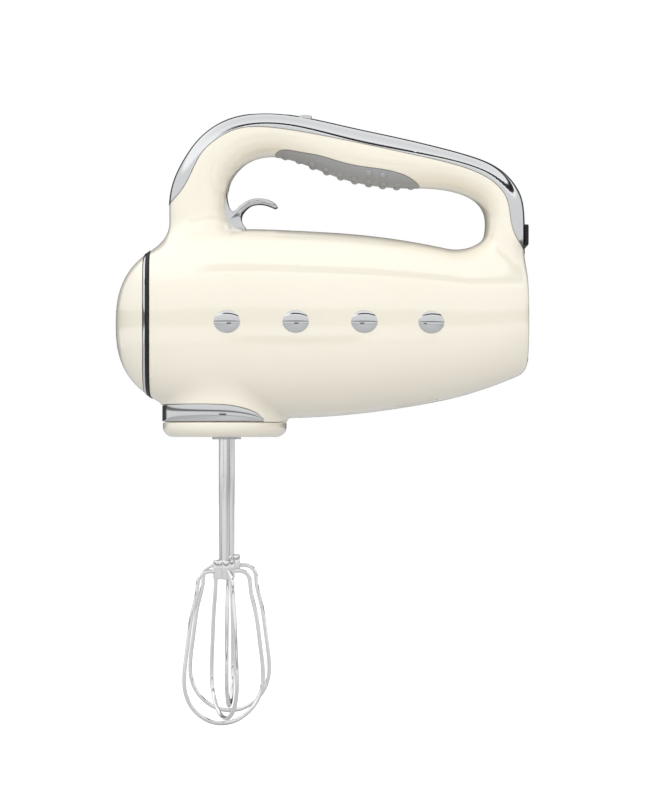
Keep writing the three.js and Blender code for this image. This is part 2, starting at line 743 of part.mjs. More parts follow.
/** The worm and its shaft, turned and cut from one bar. */
function wormShaft() {
  const perTurn = 10;
  const steps = Math.round((WORM_LENGTH / lead) * perTurn);
  const [root, tip] = [WORM_RADIUS - dedendum, WORM_RADIUS + addendum];
  const rings = Array.from({ length: steps + 1 }, (_, i) => {
    const x = WORM_LENGTH * (i / steps - 0.5);
    const ring = [];
    for (let start = 0; start < WORM_STARTS; start++) {
      const middle = (2 * Math.PI * x) / lead + (start * 2 * Math.PI) / WORM_STARTS;
      const toAngle = (2 * Math.PI) / lead;
      const corners = [
        [root, -halfTooth(-dedendum) * toAngle],
        [tip, -halfTooth(addendum) * toAngle],
        [tip, halfTooth(addendum) * toAngle],
        [root, halfTooth(-dedendum) * toAngle],
        [root, Math.PI / WORM_STARTS],
      ];
      for (const [radius, angle] of corners) {
        const turn = middle + angle;
        const [y, z] = [radius * Math.cos(turn), radius * Math.sin(turn)];
        ring.push(new THREE.Vector3(x, y, GEAR_Z + z));
      }
    }
    return ring;
  });
  const axle = [0, GEAR_Z];
  const front = bar("x", JOURNAL_RADIUS, FRAME.front - 2, 0.2 - WORM_LENGTH / 2, axle, 16);
  const rear = bar("x", SHAFT_RADIUS, WORM_LENGTH / 2 - 0.2, shaftEnd, axle, 16);
  return union([loft(rings), front, rear]);
}

// ---------------------------------------------------------------- motor

/** A round shape with slots round its edge. */
function slottedRound(radius, slots, depth, share) {
  const points = [];
  for (let i = 0; i < slots; i++) {
    const start = (i * 2 * Math.PI) / slots;
    const slotWidth = (share * 2 * Math.PI) / slots;
    const corners = [
      [radius - depth, 0],
      [radius - depth, slotWidth],
      [radius, slotWidth],
      [radius, (slotWidth + (2 * Math.PI) / slots) / 2],
    ];
    points.push(...corners.map(([r, angle]) => polar(r, start + angle)));
    points.push(polar(radius, start + (2 * Math.PI) / slots - 1e-3));
  }
  return new THREE.Shape(points);
}

const polar = (radius, angle) =>
  new THREE.Vector2(radius * Math.cos(angle), GEAR_Z + radius * Math.sin(angle));

function addRotor() {
  const axle = [0, GEAR_Z];
  const boreRadius = SHAFT_RADIUS + CLEARANCE;
  const bore = bar("x", boreRadius, 0, shaftEnd, axle, 16);
  addPiece("worm_shaft", wormShaft(), STEEL);
  const core = frontExtrude(slottedRound(ROTOR_RADIUS, ROTOR_SLOTS, 3.5, 0.3), stackX, stackEnd);
  addPiece("rotor_core", core.subtract(bore), LAMINATION);
  const copperRadius = ROTOR_RADIUS - 2;
  const windings = [
    ["rotor_winding_front", windingX, stackX - CLEARANCE],
    ["rotor_winding_rear", stackEnd + CLEARANCE, stackEnd + CLEARANCE + END_WINDING],
  ];
  for (const [name, from, to] of windings) {
    addPiece(name, bar("x", copperRadius, from, to, axle, 16).subtract(bore), COPPER);
  }
  const bars = slottedRound(COMMUTATOR_RADIUS, ROTOR_SLOTS, 0.8, 0.12);
  const commutatorEnd = commutatorX + COMMUTATOR_LENGTH;
  addPiece("commutator", frontExtrude(bars, commutatorX, commutatorEnd).subtract(bore), COPPER);
  const disc = bar("x", FAN_RADIUS, fanX, fanX + 1.5, axle, 20);
  const hub = bar("x", FAN_HUB_RADIUS, fanX, fanX + FAN_LENGTH, axle, 16);
  const root = FAN_HUB_RADIUS - 1;
  const blades = Array.from({ length: FAN_BLADES }, (_, i) => {
    const blade = new THREE.BoxGeometry(FAN_LENGTH - 1, FAN_RADIUS - 0.5 - root, 1.2);
    blade.translate(fanX + FAN_LENGTH / 2 + 0.5, (FAN_RADIUS - 0.5 + root) / 2, 2);
    blade.rotateX((i * 2 * Math.PI) / FAN_BLADES).translate(0, 0, GEAR_Z);
    return solid(blade);
  });
  addPiece("cooling_fan", union([disc, hub, ...blades]).subtract(bore), BLACK_PLASTIC);
}

const POLE_HALF = 12;
const COIL = { inner: 16.4, outer: 21.4, half: 20.5 };

function addStator() {
  const axle = [0, GEAR_Z];
  const [halfY, halfZ, corner] = [STATOR_HALF_WIDTH, STATOR_HALF_HEIGHT, 9];
  const shape = new THREE.Shape();
  shape.moveTo(-halfY + corner, GEAR_Z - halfZ);
  shape.lineTo(halfY - corner, GEAR_Z - halfZ);
  shape.absarc(halfY - corner, GEAR_Z - halfZ + corner, corner, -Math.PI / 2, 0);
  shape.absarc(halfY - corner, GEAR_Z + halfZ - corner, corner, 0, Math.PI / 2);
  shape.absarc(-halfY + corner, GEAR_Z + halfZ - corner, corner, Math.PI / 2, Math.PI);
  shape.absarc(-halfY + corner, GEAR_Z - halfZ + corner, corner, Math.PI, 1.5 * Math.PI);
  let stack = frontExtrude(shape, stackX, stackEnd, 4);
  stack = stack.subtract(bar("x", ROTOR_RADIUS + AIR_GAP, stackX - 1, stackEnd + 1, axle, 24));
  const { inner, outer, half } = COIL;
  for (const side of [-1, 1]) {
    const name = side < 0 ? "left" : "right";
    const [y0, y1] = side < 0 ? [-outer, -inner] : [inner, outer];
    const ends = END_WINDING + CLEARANCE;
    const full = box(stackX - ends, stackEnd + ends, y0, y1, GEAR_Z - half, GEAR_Z + half);
    const room = POLE_HALF + CLEARANCE;
    const gapX = CLEARANCE;
    const opening = box(stackX - gapX, stackEnd + gapX, y0 - 1, y1 + 1, GEAR_Z - room, GEAR_Z + room);
    addPiece(`field_coil_${name}`, full.subtract(opening), COPPER);
    for (const up of [-1, 1]) {
      const [z0, z1] = [GEAR_Z + up * POLE_HALF, GEAR_Z + up * (half + CLEARANCE)];
      const reach = outer + CLEARANCE;
      const [w0, w1] = side < 0 ? [-reach, -5] : [5, reach];
      const window = [stackX - 1, stackEnd + 1, w0, w1, Math.min(z0, z1), Math.max(z0, z1)];
      stack = stack.subtract(box(...window));
    }
  }
  addPiece("stator_core", stack, LAMINATION);
}

const BRUSH = { halfX: 3, halfZ: 3.5, length: 13, holderWall: 1, holderLength: 15 };

function addBrushGear() {
  const middleX = commutatorX + COMMUTATOR_LENGTH / 2;
  const { halfX, halfZ, length, holderWall, holderLength } = BRUSH;
  for (const side of [-1, 1]) {
    const name = side < 0 ? "left" : "right";
    const near = COMMUTATOR_RADIUS + CLEARANCE;
    const tube = (grow, from, to) => {
      const [y0, y1] = side < 0 ? [-to, -from] : [from, to];
      const [gx, gz] = [halfX + grow, halfZ + grow];
      return box(middleX - gx, middleX + gx, y0, y1, GEAR_Z - gz, GEAR_Z + gz);
    };
    const holderEnd = near + 2 + holderLength;
    const holder = tube(CLEARANCE + holderWall, near + 2, holderEnd);
    const channel = tube(CLEARANCE, near + 1, holderEnd + 1);
    addPiece(`brush_holder_${name}`, holder.subtract(channel), BRONZE);
    addPiece(`carbon_brush_${name}`, tube(0, near, near + length), CARBON);
  }
}

function addRearBracket() {
  const axle = [0, GEAR_Z];
  const reach = FRAME.legZ + FRAME.legHeight / 2;
  const end = bracketX + BRACKET_WALL;
  const plate = box(bracketX, end, -14, 14, GEAR_Z - reach, GEAR_Z + reach);
  const legs = supportLegs(stackEnd + CLEARANCE, bracketX + 1);
  const seat = bar("x", BEARING_RADIUS + CLEARANCE, bracketX - 1, end + 1, axle);
  addPiece("motor_bracket", union([plate, ...legs]).subtract(seat), ZINC);
  const inner = SHAFT_RADIUS + CLEARANCE;
  addPiece("rear_bearing", bush("x", BEARING_RADIUS, inner, bracketX, end, axle), STEEL);
}

const POWER_BOARD = { fromHeel: 24, halfWidth: 18, z0: 42, z1: 80 };

function addPowerBoard() {
  const { fromHeel, halfWidth, z0, z1 } = POWER_BOARD;
  const x = HEEL_X - fromHeel;
  const board = box(x, x + BOARD_THICKNESS, -halfWidth, halfWidth, z0, z1);
  const choke = box(x + 1, x + 11, -14, -2, 66, 78);
  const switchBlock = box(x + 1, x + 9, 2, 14, 67, 77);
  const capacitor = bar("x", 5, x + 1, x + 12, [8, 49], 16);
  addPiece("power_board", union([board, choke, switchBlock, capacitor]), BOARD_GREEN);
}

// ---------------------------------------------------------------- beaters

// Half of a wire loop: share of the cage radius, and height below the hub's socket.
const SOCKET_Z = HUB_TOP - 6;
const HUB_CORE_RADIUS = 4.2;
const SOCKET_DEPTH = 1.4; // how far a wire's end goes into its lug
const LOOP_HALF = [
  [0.39, 0],
  [0.55, 0.028],
  [0.68, 0.12],
  [0.79, 0.253],
  [0.92, 0.48],
  [1, 0.67],
  [0.986, 0.766],
  [0.85, 0.867],
  [0.58, 0.947],
  [0.28, 0.99],
];
const CROSSING_LIFT = 2 * WIRE_RADIUS + 2 * CLEARANCE; // one loop passes over the other

function beaterLoop(centreY, turn, lift) {
  const depth = SOCKET_Z - CAGE_BOTTOM;
  const place = (radius, z) => {
    const [x, y] = [radius * Math.cos(turn), radius * Math.sin(turn)];
    return new THREE.Vector3(x, centreY + y, z);
  };
  const half = LOOP_HALF.map(([share, drop]) => {
    return [share * CAGE_RADIUS, SOCKET_Z - drop * depth + lift * drop ** 4];
  });
  half.unshift([HUB_RADIUS - SOCKET_DEPTH + CLEARANCE, SOCKET_Z]);
  const bottom = place(0, CAGE_BOTTOM + lift);
  const down = half.map(([radius, z]) => place(radius, z));
  const up = half.map(([radius, z]) => place(-radius, z)).reverse();
  const curve = new THREE.CatmullRomCurve3([...down, bottom, ...up], false, "centripetal");
  return wire(curve, WIRE_RADIUS, 28);
}

function addBeater(name, side, turn) {
  const centreY = side * spindleY;
  const centre = [0, centreY];
  const hubBottom = HUB_TOP - HUB_HEIGHT;
  addPiece(`${name}_shaft`, bar("z", SHANK_RADIUS, hubBottom, SHANK_GRIP, centre, 16), STAINLESS);
  let hub = bar("z", HUB_CORE_RADIUS, hubBottom, HUB_TOP, centre, 16);
  for (const quarter of [0, 1]) {
    const lugs = new THREE.BoxGeometry(2 * HUB_RADIUS, LUG_WIDTH, HUB_HEIGHT);
    lugs.rotateZ(turn + (quarter * Math.PI) / 2).translate(0, centreY, (hubBottom + HUB_TOP) / 2);
    hub = hub.add(solid(lugs));
  }
  hub = hub.subtract(bar("z", SHANK_RADIUS + CLEARANCE, hubBottom - 1, HUB_TOP + 1, centre, 16));
  for (const quarter of [0, 1, 2, 3]) {
    const depth = 4;
    const holeRadius = WIRE_RADIUS + CLEARANCE;
    const hole = new THREE.CylinderGeometry(holeRadius, holeRadius, depth, 8);
    hole.rotateZ(Math.PI / 2).translate(HUB_RADIUS - SOCKET_DEPTH + depth / 2, 0, 0);
    hole.rotateZ(turn + (quarter * Math.PI) / 2).translate(0, centreY, SOCKET_Z);
    hub = hub.subtract(solid(hole));
  }
  addPiece(`${name}_hub`, hub, STAINLESS);
  addPiece(`${name}_loop_a`, beaterLoop(centreY, turn, 0), STAINLESS);
  addPiece(`${name}_loop_b`, beaterLoop(centreY, turn + Math.PI / 2, CROSSING_LIFT), STAINLESS);
}

// ---------------------------------------------------------------- casing

const FOOT_OUT = 1.2; // how far the rubber feet stand behind the heel
const FEET = [
  { name: "heel_foot_upper", x: HEEL_X - 1.4, half: 12, z0: 101, z1: 112 },
  { name: "heel_foot_lower", x: HEEL_X - 4, half: 9, z0: 39.5, z1: 46 },
];
const GLAND = { z: 61, rim: 7, body: 5, bore: 3.2 };
const BADGE = { studs: 4, firstX: 3.4, pitch: 34.8, z: 58.6, halfLength: 7, halfHeight: 6, rise: 1 };
const VENTS = { from: 88, to: 112, offsets: [5, 10, 15], halfWidth: 1 };

/** The footprint of the studs and their carrier strip, seen from the side. */
function badgeZone(gap, side) {
  const { studs, firstX, pitch, z, halfLength, halfHeight } = BADGE;
  const [y0, y1] = side < 0 ? [-60, -20] : [20, 60];
  const ovals = Array.from({ length: studs }, (_, i) => {
    const shape = new THREE.Shape();
    const x = alongBody(firstX + i * pitch);
    shape.absellipse(x, z, halfLength + gap, halfHeight + gap, 0, 2 * Math.PI);
    return sideExtrude(shape, y0, y1, 6);
  });
  return union(ovals);
}

function addBadges() {
  const { studs, firstX, pitch, z, rise } = BADGE;
  const behind = WALL + CLEARANCE;
  const inside = bodyForm(behind + 1.2, HOLLOW_SIDES, 1);
  const carrierForm = bodyForm(-rise).subtract(inside);
  const stripForm = bodyForm(behind, HOLLOW_SIDES, 1).subtract(inside);
  const last = firstX + (studs - 1) * pitch;
  for (const side of [-1, 1]) {
    const [y0, y1] = side < 0 ? [-60, -20] : [20, 60];
    const strip = box(alongBody(firstX), alongBody(last), y0, y1, z - 3, z + 3);
    const badge = carrierForm.intersect(badgeZone(0, side)).add(stripForm.intersect(strip));
    addPiece(side < 0 ? "badge_left" : "badge_right", badge, CHROME);
  }
}

/** The zone of the chrome wrap round the front of the collar, seen from the side. */
function collarTrimZone(gap) {
  const [low, high] = [BASE_HEIGHT + 2 * CLEARANCE, COLLAR_TRIM_TOP];
  const outline = [
    [-40, low - gap],
    [19, low - gap],
    [20.5 + gap, low - gap + 1.2],
    [19 + gap, low + 3],
    [12, high - 1.6 + gap],
    [4, high - 0.4 + gap],
    [-6, high + gap],
    [-40, high + gap],
  ];
  return sideExtrude(new THREE.Shape(outline.map(([x, z]) => new THREE.Vector2(x, z))), -50, 50);
}

function addCollarTrim() {
  const [low, high] = [BASE_HEIGHT, COLLAR_TRIM_TOP + 2];
  const skin = collarForm(-0.4, low, high).subtract(collarForm(TRIM_THICKNESS, low - 1, high + 1));
  addPiece("collar_trim", skin.intersect(collarTrimZone(0)), CHROME);
}

function addBaseCap() {
  const edge = [
    [0, 4],
    [0.6, 2.3],
    [2.2, 0.9],
    [4.6, 0.2],
    [BASE_HEIGHT, 0],
  ];
  const rings = edge.map(([z, inset]) => {
    const place = (a, b) => new THREE.Vector3(COLLAR_CENTRE_X + a, b, z);
    return ovalRing(COLLAR_SIDES, COLLAR_HALF_LENGTH - inset, collarHalfWidth - inset, COLLAR_POWER, place);
  });
  const pocket = collarForm(4.5, 3.2, BASE_HEIGHT + 1);
  let cap = loft(rings).subtract(pocket);
  for (const side of [-1, 1]) {
    const centre = [0, side * spindleY];
    cap = cap.subtract(bar("z", SPINDLE_RIM_RADIUS + CLEARANCE, -1, BASE_HEIGHT + 1, centre));
  }
  addPiece("base_cap", cap, CREAM);
}

function addNose() {
  const outer = bodyForm(0);
  const proud = bodyForm(-RING_RISE);
  const hollow = bodyForm(WALL);
  const ringHollow = bodyForm(WALL + 1);
  const capEnd = RING_X - CLEARANCE;
  const trimEnd = RING_X + TRIM_RING_WIDTH;
  const gasketX = trimEnd + CLEARANCE;
  const cap = outer.intersect(noseSlice(-90, capEnd)).subtract(hollow);
  addPiece("nose_cap", cap, CREAM);
  const trim = proud.intersect(noseSlice(RING_X, trimEnd)).subtract(ringHollow);
  addPiece("nose_trim_ring", trim, CHROME);
  const gasket = proud.intersect(noseSlice(gasketX, gasketX + GASKET_WIDTH)).subtract(ringHollow);
  addPiece("nose_gasket", gasket, BLACK_RUBBER);
}

function addHandlePieces() {
  const outer = handleForm(0);
  const beyondBody = outer.subtract(bodyForm(0));
  const skin = outer.subtract(handleForm(COVER_THICKNESS));
  let cover = skin.intersect(coverZone(0)).subtract(windowZone(CLEARANCE));
  for (const { x, y, radius } of BUTTONS) {
    const centre = [alongBody(x), y];
    cover = cover.subtract(bar("z", radius + CLEARANCE, boardTop, handleTopZ + 20, centre, 16));
  }
  cover = cover.subtract(union(FEET.map((foot) => footBox(foot, CLEARANCE, HEEL_X + 9))));
  addPiece("handle_cover", cover, CHROME);
  addPiece("grip_pad", beyondBody.intersect(padZone(0)), GREY_RUBBER);
}

/** A heel foot's block, let out by a gap, as far back as an X. */
function footBox({ x, half, z0, z1 }, gap, backX) {
  return box(x - gap, backX, -half - gap, half + gap, z0 - gap, z1 + gap);
}

function addFeetAndGland() {
  for (const foot of FEET) {
    addPiece(foot.name, footBox(foot, 0, HEEL_X + FOOT_OUT), BLACK_RUBBER);
  }
  const { z, rim, body, bore } = GLAND;
  const axle = [0, z];
  const inside = HEEL_X - WALL - CLEARANCE;
  const gland = union([
    bar("x", rim, HEEL_X + CLEARANCE, HEEL_X + 0.9, axle),
    bar("x", body, inside - 1, HEEL_X + 0.5, axle),
    bar("x", rim, inside - 4, inside, axle),
  ]).subtract(bar("x", bore, inside - 5, HEEL_X + 2, axle, 16));
  addPiece("cable_gland", gland, CREAM);
}

function addHousing() {
  const coverGap = handleForm(COVER_THICKNESS + CLEARANCE);
  const handle = handleForm(0).subtract(coverZone(CLEARANCE).subtract(coverGap));
  const collar = collarForm(0, BASE_HEIGHT + CLEARANCE, COLLAR_TOP);
  const trimRoom = collarTrimZone(CLEARANCE)
    .subtract(collarForm(TRIM_THICKNESS + CLEARANCE, 0, COLLAR_TOP))
    .intersect(collarForm(-5, 0, COLLAR_TRIM_TOP + 2));
  const body = bodyForm(0).intersect(noseSlice(ringsEnd, HEEL_X + 20));
  const form = union([body, handle, collar.subtract(trimRoom)]).subtract(trimRoom);

  const padWall = padZone(WALL);
  const handleHollow = handleForm(handleWall, 12).subtract(padWall);
  const collarHollow = collarForm(WALL + TRIM_THICKNESS + CLEARANCE, 0, COLLAR_TOP + 1);
  const hollow = union([bodyForm(WALL, HOLLOW_SIDES, 1), collarHollow, handleHollow]);
  let shell = form.subtract(padZone(CLEARANCE)).subtract(hollow);

  const bosses = [-1, 1].map((side) => {
    const reach = [side * PIN_BOSS.near, side * PIN_BOSS.far].sort((a, b) => a - b);
    return bar("y", PIN_BOSS.radius, ...reach, PIVOT.toArray(), 12);
  });
  shell = shell.add(union(bosses).add(bossWebs()).intersect(form));
  shell = shell.subtract(bar("y", PIN_RADIUS + CLEARANCE, -17, 17, PIVOT.toArray(), 16));
  const springRoom = SPRING.radius + SPRING.wire + 2 * CLEARANCE;
  const springEnd = -TRIGGER_WIDTH / 2 - 1.3 - SPRING.pitch * SPRING.turns - SPRING.wire;
  shell = shell.subtract(bar("y", springRoom, springEnd, 0, PIVOT.toArray(), 12));
  const slot = TRIGGER_WIDTH / 2 + CLEARANCE;
  shell = shell.subtract(box(-12, 16, -slot, slot, PIVOT.y - 4, 131));

  for (const { x, y, radius } of BUTTONS) {
    const centre = [alongBody(x), y];
    shell = shell.subtract(bar("z", radius + CLEARANCE, boardTop, handleTopZ + 20, centre, 16));
  }
  shell = shell.subtract(union(FEET.map((foot) => footBox(foot, CLEARANCE, HEEL_X + 9))));
  shell = shell.subtract(bar("x", GLAND.body + CLEARANCE, HEEL_X - 8, HEEL_X + 8, [0, GLAND.z]));
  for (const side of [-1, 1]) {
    shell = shell.subtract(badgeZone(CLEARANCE, side));
    for (const offset of VENTS.offsets) {
      const [y0, y1] = [side * offset - VENTS.halfWidth, side * offset + VENTS.halfWidth];
      shell = shell.subtract(box(alongBody(VENTS.from), alongBody(VENTS.to), y0, y1, 0, 32));
    }
  }
  const half = CLEARANCE / 2;
  addPiece("housing_left", shell.intersect(box(-100, 200, -80, -half, -10, 220)), CREAM);
  addPiece("housing_right", shell.intersect(box(-100, 200, half, 80, -10, 220)), CREAM);
}

/** Ribs that carry the trigger pin's bosses from the shell's side walls. */
function bossWebs() {
  const webs = [-1, 1].map((side) => {
    const { radius, near, webHalf } = PIN_BOSS;
    const [y0, y1] = side < 0 ? [-60, -near - 1.5] : [near + 1.5, 60];
    const { x, y: z } = PIVOT;
    return box(x - webHalf, x + webHalf, y0, y1, z - radius, z + radius);
  });
  return union(webs);
}

// ---------------------------------------------------------------- assembly

addHousing();
addNose();
addHandlePieces();
addControls();
addCollarTrim();
addBaseCap();
addBadges();
addFeetAndGland();
addTrigger();
addYoke();
addGearbox();
addRotor();
addStator();
addBrushGear();
addRearBracket();
addPowerBoard();
addBeater("beater_left", -1, LEFT_BEATER_TURN);
addBeater("beater_right", 1, 0);

export default mixer;
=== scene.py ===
"""Electric hand mixer with two wire beaters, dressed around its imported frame.

Sizes are in millimetres and are turned into metres where a mesh is made. The origin is the
centre of the drive face under the collar, the nose points to -X and the beaters hang down.
"""

import logging
import math
from dataclasses import dataclass, field
from enum import Enum
from typing import Callable, Iterable, Sequence

import bmesh
import bpy
import numpy as np
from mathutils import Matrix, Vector


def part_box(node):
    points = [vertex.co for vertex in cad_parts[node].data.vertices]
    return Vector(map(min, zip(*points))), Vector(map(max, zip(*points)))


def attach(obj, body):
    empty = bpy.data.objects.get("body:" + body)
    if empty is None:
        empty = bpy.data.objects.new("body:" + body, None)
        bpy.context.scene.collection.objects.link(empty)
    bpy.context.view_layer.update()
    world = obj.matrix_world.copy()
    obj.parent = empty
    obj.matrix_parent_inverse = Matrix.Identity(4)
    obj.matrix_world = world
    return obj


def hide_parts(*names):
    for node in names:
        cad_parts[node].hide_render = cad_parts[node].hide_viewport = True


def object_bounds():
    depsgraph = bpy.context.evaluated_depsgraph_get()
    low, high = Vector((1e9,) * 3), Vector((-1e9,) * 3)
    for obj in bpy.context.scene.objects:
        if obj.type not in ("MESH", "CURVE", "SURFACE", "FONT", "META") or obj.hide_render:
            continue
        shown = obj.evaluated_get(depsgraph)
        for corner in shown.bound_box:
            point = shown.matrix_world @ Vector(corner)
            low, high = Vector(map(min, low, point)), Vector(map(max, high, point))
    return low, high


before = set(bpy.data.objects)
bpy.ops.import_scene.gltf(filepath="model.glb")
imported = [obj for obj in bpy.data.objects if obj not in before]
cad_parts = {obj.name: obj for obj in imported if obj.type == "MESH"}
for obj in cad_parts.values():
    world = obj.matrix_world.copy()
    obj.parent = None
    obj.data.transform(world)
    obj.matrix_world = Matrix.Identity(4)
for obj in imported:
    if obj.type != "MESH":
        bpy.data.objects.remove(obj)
CAD_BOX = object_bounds()

logging.basicConfig(level=logging.INFO, format="%(message)s")
log = logging.getLogger("hand_mixer")

MM = 0.001
Array = np.ndarray
Field = Callable[[Array, Array, Array], Array]
Outline = Sequence[tuple[float, float]]


class Axis(Enum):
    """The world axis that a shape is drawn along."""

    X = 0
    Y = 1
    Z = 2


class Side(Enum):
    """One of the mixer's two sides, with its sign on Y."""

    LEFT = -1
    RIGHT = 1


class Cut(Enum):
    """What a boolean keeps."""

    REMOVE = "DIFFERENCE"
    KEEP = "INTERSECT"


# ---------------------------------------------------------------- frame helpers


def box_mm(node: str) -> tuple[Array, Array]:
    """A CAD node's low and high corners in millimetres.

    Args:
        node: the CAD node's name.

    Returns:
        The lowest and the highest corner.
    """
    low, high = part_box(node)
    return np.array(low) / MM, np.array(high) / MM


def settle(
    piece: bpy.types.Object,
    body: str,
    finish: "Finish",
    *nodes: str,
) -> bpy.types.Object:
    """Gives a finished piece its material and body, and hides the CAD nodes it stands for.

    Args:
        piece: the finished mesh object.
        body: the CAD body that it rides on.
        finish: its material.
        nodes: the CAD nodes that it replaces.

    Returns:
        The same object.
    """
    if nodes:
        piece.name = piece.data.name = f"{nodes[0]}_visual"
    piece.data.materials.clear()
    piece.data.materials.append(finish.material())
    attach(piece, body)
    if nodes:
        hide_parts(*nodes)
    log.info("%s: %d faces on %s", piece.name, len(piece.data.polygons), body)
    return piece


# ---------------------------------------------------------------- curves and outlines


def natural_cubic(knots: Array, values: Array, at: Array) -> Array:
    """A natural cubic spline through rows of values.

    Args:
        knots: rising places of the rows.
        values: one row of numbers for each knot.
        at: where the spline is read.

    Returns:
        One row for each place in at.
    """
    count = len(knots)
    step = np.diff(knots)
    system = np.eye(count)
    right = np.zeros_like(values, dtype=float)
    for i in range(1, count - 1):
        system[i, i - 1 : i + 2] = step[i - 1], 2 * (step[i - 1] + step[i]), step[i]
        rise = (values[i + 1] - values[i]) / step[i]
        right[i] = 6 * (rise - (values[i] - values[i - 1]) / step[i - 1])
    bend = np.linalg.solve(system, right)
    k = np.clip(np.searchsorted(knots, at, side="right") - 1, 0, count - 2)
    b = ((at - knots[k]) / step[k])[:, None]
    a = 1 - b
    curve = (a**3 - a) * bend[k] + (b**3 - b) * bend[k + 1]
    return a * values[k] + b * values[k + 1] + curve * (step[k] ** 2)[:, None] / 6


def smooth_path(points: Iterable[Sequence[float]], count: int, plane: int = 2) -> Array:
    """A smooth line through points, sampled evenly.

    Args:
        points: rows whose first numbers are a place.
        count: number of samples.
        plane: how many of a row's numbers are its place.

    Returns:
        The samples, with every column of the rows.
    """
    rows = np.array(list(points), float)
    gaps = np.linalg.norm(np.diff(rows[:, :plane], axis=0), axis=1)
    along = np.concatenate([[0], np.cumsum(gaps)])
    return natural_cubic(along, rows, np.linspace(0, along[-1], count))


def squared_oval(count: int, half_a: float, half_b: float, power: float) -> Array:
    """Points round a squared oval.

    Args:
        count: number of points.
        half_a: half of its first width.
        half_b: half of its second width.
        power: its squareness, 2 for an ellipse.

    Returns:
        The points, anticlockwise.
    """
    turn = np.linspace(0, 2 * np.pi, count, endpoint=False)
    raw = np.stack([np.cos(turn), np.sin(turn)], axis=1)
    reach = (np.abs(raw[:, 0]) ** power + np.abs(raw[:, 1]) ** power) ** (-1 / power)
    return raw * reach[:, None] * (half_a, half_b)


def rounded_rectangle(
    low: Sequence[float], high: Sequence[float], radius: float, steps: int = 5
) -> Array:
    """A rectangle with round corners.

    Args:
        low: its low corner.
        high: its high corner.
        radius: the corner radius.
        steps: segments in each corner.

    Returns:
        The outline, anticlockwise.
    """
    points = []
    corners = [(high[0], high[1]), (low[0], high[1]), (low[0], low[1]), (high[0], low[1])]
    signs = [(-1, -1), (1, -1), (1, 1), (-1, 1)]
    for quarter, ((x, y), (sx, sy)) in enumerate(zip(corners, signs)):
        centre = np.array([x + sx * radius, y + sy * radius])
        for angle in np.linspace(0, np.pi / 2, steps + 1) + quarter * np.pi / 2:
            points.append(centre + radius * np.array([math.cos(angle), math.sin(angle)]))
    return np.array(points)


def unit_rows(rows: Array) -> Array:
    """Each row scaled to a length of one."""
    return rows / np.maximum(np.linalg.norm(rows, axis=1, keepdims=True), 1e-9)


def offset_line(line: Array, gap: float) -> Array:
    """A line seen from the side, moved to its left.

    Args:
        line: its points, as X and Z.
        gap: how far it moves; a negative gap moves it to its right.

    Returns:
        The moved points.
    """
    along = unit_rows(np.gradient(line, axis=0))
    return line + gap * np.stack([-along[:, 1], along[:, 0]], axis=1)


def inset_outline(outline: Array, inset: float) -> Array:
    """An anticlockwise outline drawn in along its corner normals.

    Args:
        outline: the points.
        inset: how far inwards.

    Returns:
        The moved points.
    """
    after = np.roll(outline, -1, axis=0) - outline
    before = outline - np.roll(outline, 1, axis=0)
    along = unit_rows(unit_rows(after) + unit_rows(before))
    inwards = np.stack([-along[:, 1], along[:, 0]], axis=1)
    return outline + inwards * inset


# ---------------------------------------------------------------- meshes

EDGE_STEPS = 4
DOUBLES_DISTANCE = 1e-6
SLIVER_LENGTH = 1e-7


def make_object(name: str, points: Array, faces: Iterable, tidy: bool = True) -> bpy.types.Object:
    """A mesh object from points in millimetres.

    Args:
        name: the object's name.
        points: rows of X, Y and Z.
        faces: tuples of point numbers.
        tidy: whether doubles are merged and faces turned outwards.

    Returns:
        The object, at the origin, with smooth faces.
    """
    mesh = bpy.data.meshes.new(name)
    if isinstance(faces, np.ndarray):
        faces = faces.tolist()
    mesh.from_pydata((np.asarray(points, float) * MM).tolist(), [], list(faces))
    if tidy:
        work = bmesh.new()
        work.from_mesh(mesh)
        bmesh.ops.remove_doubles(work, verts=work.verts, dist=DOUBLES_DISTANCE)
        bmesh.ops.dissolve_degenerate(work, edges=work.edges, dist=SLIVER_LENGTH)
        bmesh.ops.recalc_face_normals(work, faces=work.faces)
        work.to_mesh(mesh)
        work.free()
    mesh.shade_smooth()
    piece = bpy.data.objects.new(name, mesh)
    bpy.context.scene.collection.objects.link(piece)
    return piece


def crease(piece: bpy.types.Object, degrees: float = 35) -> bpy.types.Object:
    """Keeps a piece's edges sharp where its faces meet at more than an angle.

    Args:
        piece: the object.
        degrees: the angle.

    Returns:
        The same object.
    """
    piece.data.set_sharp_from_angle(angle=math.radians(degrees))
    return piece


def skin_faces(rings: int, count: int, around: bool = True, along: bool = False) -> list:
    """Faces of a skin over rings of points.

    Args:
        rings: number of rings.
        count: points in each ring.
        around: whether each ring is closed.
        along: whether the last ring joins the first.

    Returns:
        The quads.
    """
    faces = []
    for i in range(rings if along else rings - 1):
        for j in range(count if around else count - 1):
            k, n = (i + 1) % rings, (j + 1) % count
            faces.append((i * count + j, i * count + n, k * count + n, k * count + j))
    return faces


def loft(name: str, rings: Array, joined: bool = False) -> bpy.types.Object:
    """A closed skin over rings, flat at both ends unless its ends are joined.

    Args:
        name: the object's name.
        rings: points of every ring, as rings by points by three.
        joined: whether the last ring joins the first.

    Returns:
        The object.
    """
    rings = np.asarray(rings, float)
    total, count = rings.shape[:2]
    faces = skin_faces(total, count, along=joined)
    if not joined:
        faces.append(tuple(range(count)))
        faces.append(tuple(range((total - 1) * count, total * count)))
    return make_object(name, rings.reshape(-1, 3), faces)


